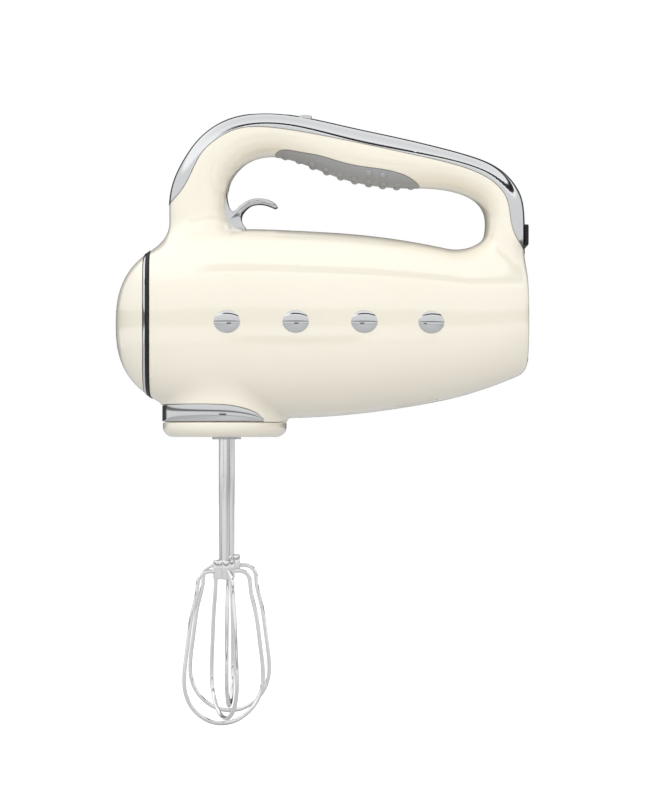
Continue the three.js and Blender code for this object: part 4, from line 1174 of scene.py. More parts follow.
@dataclass
class CasingForm:
    """The outer form of body, handle and collar as one field, negative inside.

    Every table is drawn behind the nose for a heel at drawn_heel and stretched to the real one.
    """

    heel: float
    collar_centre: float
    collar_half_length: float
    collar_half_width: float
    collar_bottom: float
    half_width: float
    drawn_heel: float = 158.8
    body_power: float = 2.8
    handle_power: float = 2.6
    collar_power: float = 2.1
    nose_start: float = 4.0
    nose_length: float = 62.5
    nose_power: float = 2.4
    post_blend: float = 12.0
    heel_blend: float = 4.0
    collar_blend: float = 3.0
    collar_top: float = 32.0
    # every how many samples the handle's line is first searched
    coarse_step: int = 10
    # where the wall inside grows from the body's to the handle's: its start in Z and its length
    post_start: float = 110.0
    post_length: float = 15.0
    # X, half height, height of the middle, and how much narrower than the widest
    body: Sequence[tuple[float, float, float, float]] = (
        (-62, 49.8, 59.3, 0),
        (-40, 48.5, 59.5, 0),
        (-24, 48.5, 59.2, 0),
        (4, 49.6, 59.9, 0),
        (38, 49.3, 59.55, 0),
        (70, 47.2, 59.6, 1),
        (100, 43.1, 59.7, 4),
        (125, 37.9, 59.7, 8.5),
        (145, 31.9, 60.3, 13.2),
        (158, 27.4, 61.2, 17.5),
        (172, 22, 62.5, 23),
    )
    # X, Z, half depth and half width along the middle of the handle
    handle: Sequence[tuple[float, float, float, float]] = (
        (-15, 60, 15.6, 17.5),
        (-15, 90, 15.6, 17.2),
        (-14.9, 112, 15.3, 16.2),
        (-14.5, 128.5, 15.0, 15.4),
        (-11.3, 139.2, 13.7, 15),
        (-4.6, 149.6, 13.0, 14.8),
        (5, 156.9, 12.2, 14.6),
        (16.5, 160.2, 11.2, 14.5),
        (30, 160.15, 10.9, 14.5),
        (45.5, 156.75, 11.7, 14.5),
        (65.5, 150.75, 13.2, 14.5),
        (88.5, 146.2, 12.8, 14.6),
        (111, 143.1, 10.5, 15),
        (127.5, 139.2, 9.7, 15.8),
        (139.6, 133.0, 10.1, 17),
        (146.7, 123.0, 10.4, 18.2),
        (148.2, 111, 10.6, 19.2),
        (146.9, 100, 11.9, 20),
        (143.4, 90, 15.4, 20.5),
        (138.5, 78, 20.3, 21),
        (134, 60, 24.8, 21),
    )
    table: Array = field(init=False)
    line: Array = field(init=False)

    def __post_init__(self) -> None:
        """Fits smooth curves through the tables."""
        body = np.array(self.body, float)
        body[:, 0] = self.along(body[:, 0])
        places = np.linspace(body[0, 0], body[-1, 0], BODY_SAMPLES)
        self.table = natural_cubic(body[:, 0], body, places)
        handle = np.array(self.handle, float)
        handle[:, 0] = self.along(handle[:, 0])
        self.line = smooth_path(handle, HANDLE_SAMPLES)

    def along(self, x: Array) -> Array:
        """A drawn X stretched to the real length behind the beaters."""
        return np.where(np.asarray(x) > 0, np.asarray(x) * self.heel / self.drawn_heel, x)

    def body_reach(self, x: Array, y: Array, z: Array) -> Array:
        """Distance outside the body.

        Args:
            x: places on X.
            y: places on Y.
            z: places on Z.

        Returns:
            The distances, negative inside.
        """
        half_height, middle, narrower = (
            np.interp(x, self.table[:, 0], self.table[:, column]) for column in (1, 2, 3)
        )
        half_width = self.half_width - narrower
        n, m = self.body_power, self.nose_power
        across = np.abs(y) / half_width + 1e-9
        upright = np.abs(z - middle) / half_height + 1e-9
        section = (across**n + upright**n) ** (1 / n)
        front = np.maximum((self.nose_start - x) / self.nose_length, 0)
        whole = (section**m + front**m) ** (1 / m)
        steep = (whole / section) ** (1 - m)
        spread = (across / section) ** (n - 1) / half_width
        height = (upright / section) ** (n - 1) / half_height
        forward = (front / whole) ** (m - 1) / self.nose_length
        slope = np.sqrt(steep**2 * (spread**2 + height**2) + forward**2)
        return (whole - 1) / np.maximum(slope, LEAST_SLOPE)

    def nearest(self, x: Array, z: Array) -> tuple[Array, Array, Array]:
        """The nearest place on the handle's middle line.

        Args:
            x: places on X.
            z: places on Z.

        Returns:
            Distance from the line, and the handle's half depth and half width there.
        """
        x, z = np.broadcast_arrays(x, z)
        shape = x.shape
        flat_x, flat_z = x.ravel(), z.ravel()
        found = np.empty((3, len(flat_x)))
        line = self.line
        skip = self.coarse_step
        coarse = line[skip // 2 :: skip]
        window = np.arange(-skip, skip + 1)
        for start in range(0, len(flat_x), BATCH):
            part = slice(start, start + BATCH)
            px, pz = flat_x[part, None], flat_z[part, None]
            rough = np.hypot(px - coarse[:, 0], pz - coarse[:, 1]) - coarse[:, 2]
            centre = np.clip(rough.argmin(axis=1) * skip + skip // 2, skip, len(line) - 1 - skip)
            near = line[centre[:, None] + window]
            reach = np.hypot(px - near[..., 0], pz - near[..., 1]) - near[..., 2]
            best_step = np.clip(reach.argmin(axis=1), 1, 2 * skip - 1)
            row = np.arange(len(centre))
            before, here = reach[row, best_step - 1], reach[row, best_step]
            after = reach[row, best_step + 1]
            k = centre + best_step - skip
            bend = np.maximum(before - 2 * here + after, 1e-9)
            share = np.clip(0.5 * (before - after) / bend, -0.5, 0.5)
            place = k + share
            depth = np.interp(place, np.arange(len(line)), line[:, 2])
            width = np.interp(place, np.arange(len(line)), line[:, 3])
            best = here - 0.25 * (before - after) * share
            found[:, part] = best + depth, depth, width
        return tuple(row.reshape(shape) for row in found)

    def handle_reach(self, x: Array, y: Array, z: Array) -> Array:
        """Distance outside the handle, negative inside."""
        distance, depth, width = self.nearest(x, z)
        return self.oval_reach(distance, depth, np.abs(y), width, self.handle_power)

    def oval_reach(self, a: Array, half_a: Array, b: Array, half_b: Array, n: float) -> Array:
        """Distance outside a squared oval.

        Args:
            a: distance from its middle along its first width.
            half_a: half of the first width.
            b: distance from its middle along its second width.
            half_b: half of the second width.
            n: its squareness.

        Returns:
            The distances, negative inside.
        """
        first, second = np.abs(a) / half_a + 1e-9, np.abs(b) / half_b + 1e-9
        whole = (first**n + second**n) ** (1 / n)
        slope = np.hypot((first / whole) ** (n - 1) / half_a, (second / whole) ** (n - 1) / half_b)
        return (whole - 1) / np.maximum(slope, LEAST_SLOPE)

    def collar_reach(self, x: Array, y: Array, z: Array) -> Array:
        """Distance outside the collar, which is cut flat below and ends inside the body.

        Args:
            x: places on X.
            y: places on Y.
            z: places on Z.

        Returns:
            The distances, negative inside.
        """
        wall = self.oval_reach(
            x - self.collar_centre,
            self.collar_half_length,
            y,
            self.collar_half_width,
            self.collar_power,
        )
        return np.maximum(wall, np.maximum(self.collar_bottom - z, z - self.collar_top))

    def outside(self, x: Array, y: Array, z: Array) -> Array:
        """Distance outside the whole casing.

        Args:
            x: places on X.
            y: places on Y.
            z: places on Z.

        Returns:
            The distances, negative inside.
        """
        join = soft_least(self.body_reach(x, y, z), self.handle_reach(x, y, z), self.post_blend)
        cut = -soft_least(-join, self.heel - x, self.heel_blend)
        return soft_least(cut, self.collar_reach(x, y, z), self.collar_blend)

    def level(self, offset: float) -> Field:
        """The field of the casing grown by an offset.

        Args:
            offset: how far it is grown.

        Returns:
            The field.
        """

        def grown(x: Array, y: Array, z: Array) -> Array:
            """Distance outside the grown casing."""
            return self.outside(x, y, z) - offset

        return grown

    def hollow(self, wall: float, post_wall: float) -> Field:
        """The field of the space inside a wall that thickens up the handle's posts.

        Args:
            wall: the wall round the body.
            post_wall: the wall round the handle.

        Returns:
            The field.
        """

        def inside(x: Array, y: Array, z: Array) -> Array:
            """Distance outside the hollow."""
            share = np.clip((z - self.post_start) / self.post_length, 0, 1)
            return self.outside(x, y, z) + wall + share * (post_wall - wall)

        return inside


def soft_least(a: Array, b: Array, reach: float) -> Array:
    """The lesser of two fields, rounded where they meet.

    Args:
        a: the first field's values.
        b: the second field's values.
        reach: how near the two have to be for rounding.

    Returns:
        The joined values.
    """
    share = np.clip(0.5 + 0.5 * (b - a) / reach, 0, 1)
    return b + (a - b) * share - reach * share * (1 - share)


# ---------------------------------------------------------------- casing


# how far the collar goes down behind the base cap
COLLAR_OVERLAP = 3.0


def make_form() -> CasingForm:
    """The casing's form, fitted to the frame.

    Returns:
        The form.
    """
    base_low, base_high = box_mm("base_cap")
    housing_low, housing_high = box_mm("housing_left")
    return CasingForm(
        heel=housing_high[0],
        collar_centre=(base_low[0] + base_high[0]) / 2,
        collar_half_length=(base_high[0] - base_low[0]) / 2,
        collar_half_width=(base_high[1] - base_low[1]) / 2,
        collar_bottom=base_high[2] - COLLAR_OVERLAP,
        half_width=-housing_low[1],
    )


@dataclass
class Casing:
    """The two cream shells, the chrome saddle and the grip pad."""

    form: CasingForm
    cell: float = 1.1
    gap: float = 0.3
    seam: float = 0.12
    wall: float = 2.4
    post_wall: float = 4.2
    saddle_rise: float = 0.3
    saddle_wall: float = 1.2
    pad_rise: float = 0.25
    # lower edge of the saddle, X and Z, from its front point to its rear point
    saddle_edge: Outline = (
        (-34, 121), (-25.7, 126.4), (-18.2, 137.5), (-11.3, 150.3), (-6, 155.2), (1.9, 160),
        (9.9, 162.4), (17.8, 162.8), (39, 160.4), (73.5, 153.7), (102.6, 147.3), (123.8, 141.8),
        (134.4, 137.5), (142.4, 132), (147.4, 125), (149.4, 115), (151.4, 106.5), (155.6, 100),
        (162, 92),
    )
    # upper edge of the grip pad, X and Z
    pad_edge: Outline = (
        (24, 148.2), (28.5, 150.6), (38, 149.9), (49.6, 147.6), (60.2, 144.4), (70.8, 142),
        (81.4, 140.5), (89.4, 138.9), (96, 136.6), (104, 131.6),
    )
    # cutting tools reach this far out on Y and above the casing
    tool_half: float = 60.0
    tool_top: float = CAD_BOX[1][2] / MM + 15
    # room that the nose's two rings take behind the front of the first one
    ring_room: float = 3.4
    slot_half: float = 6.3
    slot_z: tuple[float, float] = (102.5, 131)
    slot_x: tuple[float, float] = (-12, 16)
    vent_x: tuple[float, float] = (88, 112)
    vent_offsets: Sequence[float] = (5, 10, 15)
    vent_half: float = 1.0
    vent_radius: float = 0.95
    vent_top: float = 34.0
    gland_radius: float = 5.3

    def stretched(self, outline: Outline, count: int = 90) -> Array:
        """An outline at the casing's real length, made smooth.

        Args:
            outline: its points, as X and Z.
            count: number of samples.

        Returns:
            The samples.
        """
        rows = np.array(outline, float)
        rows[:, 0] = self.form.along(rows[:, 0])
        return smooth_path(rows, count)

    def above(self, name: str, outline: Array, gap: float, beyond: float = 20) -> bpy.types.Object:
        """A cutting tool for everything above a line seen from the side.

        Args:
            name: the tool's name.
            outline: the line, from front to rear.
            gap: how far the tool reaches below the line.
            beyond: how far it reaches past the line's ends.

        Returns:
            The tool.
        """
        lower = offset_line(outline, -gap)
        front, rear = lower[0, 0] - beyond, lower[-1, 0] + beyond
        corners = [(rear, lower[-1, 1]), (rear, self.tool_top)]
        corners += [(front, self.tool_top), (front, lower[0, 1])]
        return prism(name, [*lower, *corners], Axis.Y, -self.tool_half, self.tool_half)

    def pad_zone(self, gap: float, depth: float = 12) -> bpy.types.Object:
        """A cutting tool for the grip pad.

        Args:
            gap: how far it is let out.
            depth: how far it reaches below the pad's edge.

        Returns:
            The tool.
        """
        line = offset_line(self.stretched(self.pad_edge), gap)
        low = line[:, 1].min() - depth
        below = [(line[-1, 0] + gap, low), (line[0, 0] - gap, low)]
        return prism("pad_zone", [*line, *below], Axis.Y, -self.tool_half, self.tool_half)

    def nose_zone(self, x: float, reach: float = 60, margin: float = 8) -> bpy.types.Object:
        """A cutting tool for everything in front of a bowed plane.

        Args:
            x: where the plane crosses the centre.
            reach: how far the tool goes forward.
            margin: how much wider it is than the body.

        Returns:
            The tool.
        """
        half = self.form.half_width + margin
        ys = np.linspace(-half, half, 49)
        outline = [(x + bow(y), y) for y in ys] + [(x - reach, half), (x - reach, -half)]
        return prism("nose_zone", outline, Axis.Z, -40, 240)

    def skin(self, name: str, offset: float, margin: float = 6) -> bpy.types.Object:
        """The casing's closed surface at an offset.

        Args:
            name: the object's name.
            offset: how far outside the form.
            margin: room left round it.

        Returns:
            The object.
        """
        return self.net(name, self.form.level(offset), margin)

    def net(self, name: str, form: Field, margin: float = 6) -> bpy.types.Object:
        """A field's closed surface inside the casing's box.

        Args:
            name: the object's name.
            form: the field.
            margin: room left round the casing.

        Returns:
            The object.
        """
        low, high = (np.array(corner) / MM for corner in CAD_BOX)
        half = self.form.half_width + margin
        cell = self.cell * 1
        corner_low = (low[0] - margin, -half, self.form.collar_bottom - margin)
        corner_high = (self.form.heel + margin, half, high[2] + margin)
        points, faces = surface_net(form, corner_low, corner_high, cell)
        return make_object(name, points, faces, tidy=False)

    def build(self) -> None:
        """Makes and dresses every piece of the casing."""
        outer = self.skin("outer", 0)
        hollow = self.net("hollow", self.form.hollow(self.wall, self.post_wall))
        saddle_line = self.stretched(self.saddle_edge)
        self.build_pad()
        self.build_saddle(saddle_line)
        shell = carve(outer, Cut.REMOVE, hollow)
        recess = self.above("recess", saddle_line, self.gap)
        core = self.skin("core", self.saddle_rise - self.saddle_wall - self.gap)
        carve(shell, Cut.REMOVE, carve(recess, Cut.REMOVE, core), self.pad_zone(self.gap))
        self.cut_openings(shell)
        for side in Side:
            node = f"housing_{side.name.lower()}"
            half = duplicate(shell, node)
            y0, y1 = sorted((side.value * self.seam, side.value * 90))
            carve(half, Cut.KEEP, block("half", (-100, y0, -20), (220, y1, 230)))
            shade_by_field(half, self.form.level(0))
            settle(half, "mixer_body", CREAM, node)
        bpy.data.objects.remove(shell)

    def build_pad(self) -> None:
        """The rubber pad under the handle."""
        pad = self.skin("grip_pad", self.pad_rise)
        carve(pad, Cut.KEEP, self.pad_zone(0))
        shade_by_field(pad, self.form.level(self.pad_rise))
        settle(pad, "mixer_body", GREY_RUBBER, "grip_pad")

    def build_saddle(self, line: Array) -> None:
        """The chrome saddle over the handle, with holes for the controls.

        Args:
            line: its lower edge, seen from the side.
        """
        saddle = self.skin("handle_cover", self.saddle_rise)
        inner = self.skin("saddle_inside", self.saddle_rise - self.saddle_wall)
        carve(saddle, Cut.REMOVE, inner)
        carve(saddle, Cut.KEEP, self.above("saddle_zone", line, 0))
        foot = foot_tool("heel_foot_upper", self.gap)
        carve(saddle, Cut.REMOVE, *control_holes(self.gap, self.tool_top), foot)
        level = self.form.level(self.saddle_rise)
        shade_by_field(saddle, level, self.form.level(self.saddle_rise - self.saddle_wall))
        settle(saddle, "mixer_body", CHROME, "handle_cover")

    def cut_openings(self, shell: bpy.types.Object) -> None:
        """Cuts the nose, trigger slot, vents, feet, gland and control holes out of the shell.

        Args:
            shell: both shells as one piece.
        """
        carve(shell, Cut.REMOVE, self.nose_zone(ring_place() + self.ring_room))
        base_top = box_mm("base_cap")[1][2]
        carve(shell, Cut.REMOVE, block("below", (-100, -90, -30), (200, 90, base_top + self.gap)))
        (x0, x1), (z0, z1), half = self.slot_x, self.slot_z, self.slot_half
        carve(shell, Cut.REMOVE, block("slot", (x0, -half, z0), (x1, half, z1)))
        v0, v1 = self.form.along(np.array(self.vent_x))
        for offset in self.vent_offsets:
            for side in Side:
                y = side.value * offset
                corners = (v0, y - self.vent_half), (v1, y + self.vent_half)
                outline = rounded_rectangle(*corners, self.vent_radius)
                carve(shell, Cut.REMOVE, prism("vent", outline, Axis.Z, 0, self.vent_top))
        for foot in ("heel_foot_upper", "heel_foot_lower"):
            carve(shell, Cut.REMOVE, foot_tool(foot, self.gap))
        low, high = box_mm("cable_gland")
        centre = (0, (low[2] + high[2]) / 2)
        front, rear = self.form.heel - 8, self.form.heel + 8
        carve(shell, Cut.REMOVE, bar("gland", Axis.X, self.gland_radius, front, rear, centre))
        carve(shell, Cut.REMOVE, *control_holes(self.gap, self.tool_top, window=False))
        carve(shell, Cut.REMOVE, CollarTrim(self.form).tool(self.gap))


def duplicate(piece: bpy.types.Object, name: str) -> bpy.types.Object:
    """A copy of a piece with its own mesh.

    Args:
        piece: the piece.
        name: the copy's name.

    Returns:
        The copy.
    """
    made = bpy.data.objects.new(name, piece.data.copy())
    made.data.name = name
    bpy.context.scene.collection.objects.link(made)
    return made


RING_BOW_RADIUS = 270.0


def bow(y: float) -> float:
    """How far the nose rings sweep back at a place across the body."""
    return RING_BOW_RADIUS - math.sqrt(RING_BOW_RADIUS**2 - y**2)


def ring_place() -> float:
    """X of the chrome nose ring's front on the centre plane."""
    return box_mm("nose_trim_ring")[0][0]


BUTTONS = {
    "turbo_button": "turbo_key",
    "speed_up_button": "speed_up_key",
    "speed_down_button": "speed_down_key",
    "power_button": "power_key",
}


def control_holes(gap: float, top: float, window: bool = True) -> list[bpy.types.Object]:
    """Cutting tools for the buttons and the display window.

    Args:
        gap: room round each of them.
        top: height of the tools' tops.
        window: whether the window is cut too.

    Returns:
        The tools.
    """
    tools = []
    for node in BUTTONS:
        low, high = box_mm(node)
        centre = (low + high)[:2] / 2
        tools.append(bar("hole", Axis.Z, (high[0] - low[0]) / 2 + gap, low[2] + 2, top, centre))
    if window:
        low, high = box_mm("display_window")
        outline = rounded_rectangle(low[:2] - gap, high[:2] + gap, 3)
        tools.append(prism("window", outline, Axis.Z, low[2] - 4, top))
    return tools


def foot_tool(node: str, gap: float) -> bpy.types.Object:
    """A cutting tool for a rubber foot on the heel.

    Args:
        node: the foot's CAD node.
        gap: room round it.

    Returns:
        The tool.
    """
    low, high = box_mm(node)
    outline = rounded_rectangle(low[1:] - gap, high[1:] + gap, 2)
    return prism("foot_room", outline, Axis.X, low[0] - gap, high[0] + 8)


@dataclass
class Nose:
    """The nose cap with the chrome ring and, behind it, a black ring that is a painted reflection: it
    stands in for the dark band the chrome ring reflects.
    """

    form: CasingForm
    sides: int = 144
    wall: float = 2.2
    ring_width: float = 1.25
    # width of the black ring that paints the chrome ring's dark reflection
    gasket_width: float = 1.75
    gap: float = 0.15
    rise: float = 0.45
    depth: float = 3.0
    # the farthest that the search for the surface starts from the middle, and its rounds
    search_reach: float = 70.0
    search_rounds: int = 40

    def section(self, x: Array, turn: Array, offset: float = 0.0) -> Array:
        """Points on the body's surface round a bowed plane.

        Args:
            x: where the plane crosses the centre, one value for each point.
            turn: each point's angle round the body.
            offset: how far outside the surface.

        Returns:
            The points.
        """
        ray = np.stack([np.zeros_like(turn), np.cos(turn), np.sin(turn)], axis=1)
        low, high = np.zeros(len(turn)), np.full(len(turn), self.search_reach)
        middle = np.interp(x, self.form.table[:, 0], self.form.table[:, 2])
        for _ in range(self.search_rounds):
            half = (low + high) / 2
            points = self.at(x, middle, ray, half)
            outside = self.form.body_reach(*points.T) > offset
            high, low = np.where(outside, half, high), np.where(outside, low, half)
        return self.at(x, middle, ray, high)

    def at(self, x: Array, middle: Array, ray: Array, reach: Array) -> Array:
        """Points at distances along rays, on their bowed planes.

        Args:
            x: where each plane crosses the centre.
            middle: height of the body's middle there.
            ray: each ray's direction.
            reach: the distances.

        Returns:
            The points.
        """
        points = ray * reach[:, None]
        points[:, 2] += middle
        swept = np.minimum(np.abs(points[:, 1]), RING_BOW_RADIUS * 0.9)
        points[:, 0] = x + RING_BOW_RADIUS - np.sqrt(RING_BOW_RADIUS**2 - swept**2)
        return points

    def bead(self, name: str, start: float, width: float, finish: Finish) -> None:
        """A ring with rounded edges that follows the body.

        Args:
            name: the CAD node that it replaces, and its own name.
            start: X of its front on the centre plane.
            width: its width.
            finish: its material.
        """
        turn = np.linspace(0, 2 * np.pi, self.sides, endpoint=False)
        profile = rounded_rectangle((0, -self.depth), (width, self.rise), 0.4, 4)
        rings = [self.section(np.full(self.sides, start + x), turn, up) for x, up in profile]
        settle(crease(loft(name, np.array(rings), joined=True), 60), "mixer_body", finish, name)

    def build(self) -> None:
        """Makes the cap and both rings."""
        start = ring_place()
        self.bead("nose_trim_ring", start, self.ring_width, CHROME)
        # painted reflection: a black ring where the chrome ring only reflects a dark band
        self.bead("nose_gasket", start + self.ring_width + self.gap, self.gasket_width, BLACK_RUBBER_AND_DARK_REFLECTION)
        tip = self.form.nose_start - self.form.nose_length
        turn = np.linspace(0, 2 * np.pi, self.sides, endpoint=False)
        end = start - 2 * self.gap
        steps = tip + (end - tip) * np.linspace(0.04, 1, 26) ** 2
        rings = [self.section(np.full(self.sides, x), turn) for x in steps]
        inner = [self.section(np.full(self.sides, x), turn, -self.wall) for x in steps[:5:-1]]
        rings.append(rings[-1] * 0.5 + inner[0] * 0.5)
        cap = loft("nose_cap", np.array(rings + inner))
        settle(crease(cap, 40), "mixer_body", CREAM, "nose_cap")


@dataclass
class CollarTrim:
    """The chrome wrap round the front of the collar."""

    form: CasingForm
    rise: float = 0.35
    thickness: float = 1.3
    rounding: float = 0.45
    end: float = 20.5
    # how the height of its upper edge, above its lower one, falls towards its point
    heights: Outline = ((-40, 8.6), (-6, 8.6), (3, 8.2), (10, 7), (15, 5.4), (18.6, 3.4), (20.5, 1.4))

    def lower(self) -> float:
        """Height of its lower edge."""
        return box_mm("collar_trim")[0][2]

    def height(self, x: Array) -> Array:
        """Its height at a place on X."""
        table = smooth_path(self.heights, 200)
        return np.interp(x, table[:, 0], table[:, 1])

    def rings(self, offset: float, grow: float) -> Array:
        """Sections round the collar from one point to the other.

        Args:
            offset: how far outside the collar its face stands.
            grow: how far every edge is let out.

        Returns:
            The rings of points.
        """
        form = self.form
        span = math.acos((self.end + grow - form.collar_centre) / form.collar_half_length)
        turns = np.linspace(span, 2 * np.pi - span, 150)
        rings = []
        for turn in turns:
            ray = np.array([math.cos(turn), math.sin(turn)])
            power = form.collar_power
            scale = np.sum(np.abs(ray) ** power) ** (-1 / power)
            wall = ray * scale * (form.collar_half_length, form.collar_half_width)
            outward = wall / np.linalg.norm(wall)
            x = form.collar_centre + wall[0]
            low, high = self.lower() - grow, self.lower() + float(self.height(x)) + grow
            radius = min(self.rounding, 0.45 * (high - low))
            profile = rounded_rectangle((-self.thickness, low), (offset, high), radius, 3)
            rings.append([
                (x + outward[0] * out, wall[1] + outward[1] * out, z) for out, z in profile
            ])
        return np.array(rings)

    def tool(self, gap: float) -> bpy.types.Object:
        """The room for it in the shell."""
        return loft("trim_room", self.rings(6, gap))

    def build(self) -> None:
        """Makes the wrap."""
        piece = loft("collar_trim", self.rings(self.rise, 0))
        settle(crease(piece, 50), "mixer_body", CHROME, "collar_trim")


@dataclass
class BaseCap:
    """The cream cap under the collar, with a hole for each spindle."""

    form: CasingForm
    rounding: tuple[float, float] = (5.8, 5.2)
    hole_gap: float = 0.3

    def build(self) -> None:
        """Makes the cap."""
        _, high = box_mm("base_cap")
        form = self.form
        arc = np.linspace(np.pi / 2, 0, 8)
        across, upright = self.rounding
        profile = [(across * (1 - math.cos(a)), upright * (1 - math.sin(a))) for a in arc]
        profile += [(0, high[2] - 0.4), (0.15, high[2] - 0.12), (0.4, high[2])]
        rings = []
        for inset, z in profile:
            half_x, half_y = form.collar_half_length - inset, form.collar_half_width - inset
            ring = squared_oval(160, half_x, half_y, form.collar_power)
            rings.append([(form.collar_centre + x, y, z) for x, y in ring])
        cap = loft("base_cap", np.array(rings))
        for side in Side:
            rim_low, rim_high = box_mm(f"spindle_{side.name.lower()}")
            centre = (rim_low + rim_high)[:2] / 2
            radius = (rim_high[0] - rim_low[0]) / 2 + self.hole_gap
            carve(cap, Cut.REMOVE, bar("hole", Axis.Z, radius, -5, high[2] + 5, centre))
        settle(crease(cap, 30), "mixer_body", CREAM, "base_cap")


# ---------------------------------------------------------------- controls, feet and gland


@dataclass
class Controls:
    """The buttons and the display window on the saddle."""

    form: CasingForm
    edge: float = 0.7
    # the hollow in a button's top: its depth, and its share of the radius
    dish: float = 0.25
    dish_share: float = 0.72
    # how far the tops stand below the CAD ones
    sink: float = 1.0
    stem_radius: float = 1.6
    head_height: float = 4.4
    window_rise: float = 0.05
    window_radius: float = 2.7

    def build(self) -> None:
        """Makes each button and the window."""
        for node, body in BUTTONS.items():
            low, high = box_mm(node)
            radius = (high[0] - low[0]) / 2
            top = high[2] - self.sink
            stem, under = self.stem_radius, top - self.head_height
            profile = [(0, low[2]), (stem, low[2]), (stem, under), (radius, under), (radius, top)]
            profile += [(radius * self.dish_share, top - 0.02), (0, top - self.dish)]
            rounded = fillet_profile(profile, self.edge)
            button = lathe(node, rounded, Axis.Z, (low + high)[:2] / 2)
            settle(crease(button, 40), body, CHROME, node)
        low, high = box_mm("display_window")
        piece = Casing(self.form, cell=0.9).skin("display_window", self.window_rise)
        outline = rounded_rectangle(low[:2], high[:2], self.window_radius)
        carve(piece, Cut.KEEP, prism("window", outline, Axis.Z, high[2] - 4, high[2] + 9))
        shade_by_field(piece, self.form.level(self.window_rise))
        settle(piece, "mixer_body", SMOKED_LENS, "display_window")


@dataclass
class Heel:
    """The rubber feet on the heel and the gland between them."""

    edge: float = 0.4
    # how far the feet's outer faces stand short of the CAD ones
    sink: float = 0.4
    foot_radius: float = 1.8
    neck: float = 5.0
    bore: float = 3.2

    def build(self) -> None:
        """Makes the feet and the gland."""
        for node in ("heel_foot_upper", "heel_foot_lower"):
            low, high = box_mm(node)
            outline = rounded_rectangle(low[1:], high[1:], self.foot_radius)
            foot = prism(node, outline, Axis.X, low[0], high[0] - self.sink, self.edge)
            settle(crease(foot, 50), "mixer_body", BLACK_RUBBER_AND_DARK_REFLECTION, node)
        low, high = box_mm("cable_gland")
        centre = (low + high)[1:] / 2
        rim, neck, bore = (high[1] - low[1]) / 2, self.neck, self.bore
        face = high[0]
        profile = [
            (bore, face - 0.5), (bore + 0.6, face), (rim - 0.9, face), (rim, face - 0.35),
            (rim, face - 0.6), (neck, face - 0.7), (neck, low[0] + 4), (rim, low[0] + 3.6),
            (rim, low[0]), (bore, low[0]),
        ]
        gland = lathe("cable_gland", profile, Axis.X, centre)
        settle(crease(gland, 40), "mixer_body", CREAM, "cable_gland")


# ---------------------------------------------------------------- trigger


@dataclass
class Trigger:
    """The beater release hook under the front of the handle."""

    edge: float = 0.75
    pin_gap: float = 0.3
    face: Outline = (
        (-0.2, 129), (0.8, 123.8), (2, 121), (3.5, 119.6), (5.6, 120.7), (7.7, 122.7),
        (10.9, 124.9), (15.2, 126.3), (18, 126.4), (21.5, 125.9), (25, 124.4), (27, 122.7),
    )
    underside: Outline = (
        (25.6, 121.9), (22.6, 123.2), (18.9, 124.2), (15.7, 124.2), (12.5, 123.3), (10.1, 121.4),
        (8.3, 119), (7.7, 116.3), (8.5, 113.7), (9.9, 111.6),
    )
    inner: Outline = (
        (10.5, 107.6), (3, 103), (-3, 101.8), (-8, 101.6), (-16, 99.8), (-18, 99.8), (-18, 102),
        (-8, 108), (-1.4, 113), (-2.2, 120), (-2.2, 129),
    )

    def build(self) -> None:
        """Makes the hook, with smooth faces and round edges."""
        low, high = box_mm("release_trigger")
        outline = [
            *smooth_path(self.face, 50), *smooth_path(self.underside, 40), *self.inner,
        ]
        hook = prism("release_trigger", outline, Axis.Y, low[1], high[1], self.edge)
        pin_low, pin_high = box_mm("trigger_pin")
        centre = np.array([pin_low[0] + pin_high[0], pin_low[2] + pin_high[2]]) / 2
        radius = (pin_high[0] - pin_low[0]) / 2 + self.pin_gap
        carve(hook, Cut.REMOVE, bar("bore", Axis.Y, radius, low[1] - 2, high[1] + 2, centre, 24))
        settle(crease(hook, 40), "trigger", CHROME, "release_trigger")


# ---------------------------------------------------------------- beaters


def wire_tree(finish: Finish) -> bpy.types.NodeTree:
    """Geometry Nodes that sweep a round wire along a line.

    Args:
        finish: the wire's material.

    Returns:
        The tree.
    """
    group = NodeGroup("swept_wire", "GeometryNodeTree")
    group.socket("Geometry", "Geometry")
    group.socket("Wire Radius", "Float", 0.001)
    group.socket("Sides", "Int", 16)
    group.socket("Geometry", "Geometry", out=True)
    group.ends()
    given = group.source.outputs
    curve = group.node("GeometryNodeMeshToCurve", {"Mesh": given["Geometry"]})
    section = group.node(
        "GeometryNodeCurvePrimitiveCircle",
        {"Resolution": given["Sides"], "Radius": given["Wire Radius"]},
        mode="RADIUS",
    )
    swept = group.node(
        "GeometryNodeCurveToMesh",
        {"Curve": curve.outputs[0], "Profile Curve": section.outputs[0], "Fill Caps": True},
    )
    finish_tree(group, swept.outputs[0], finish)
    return group.tree


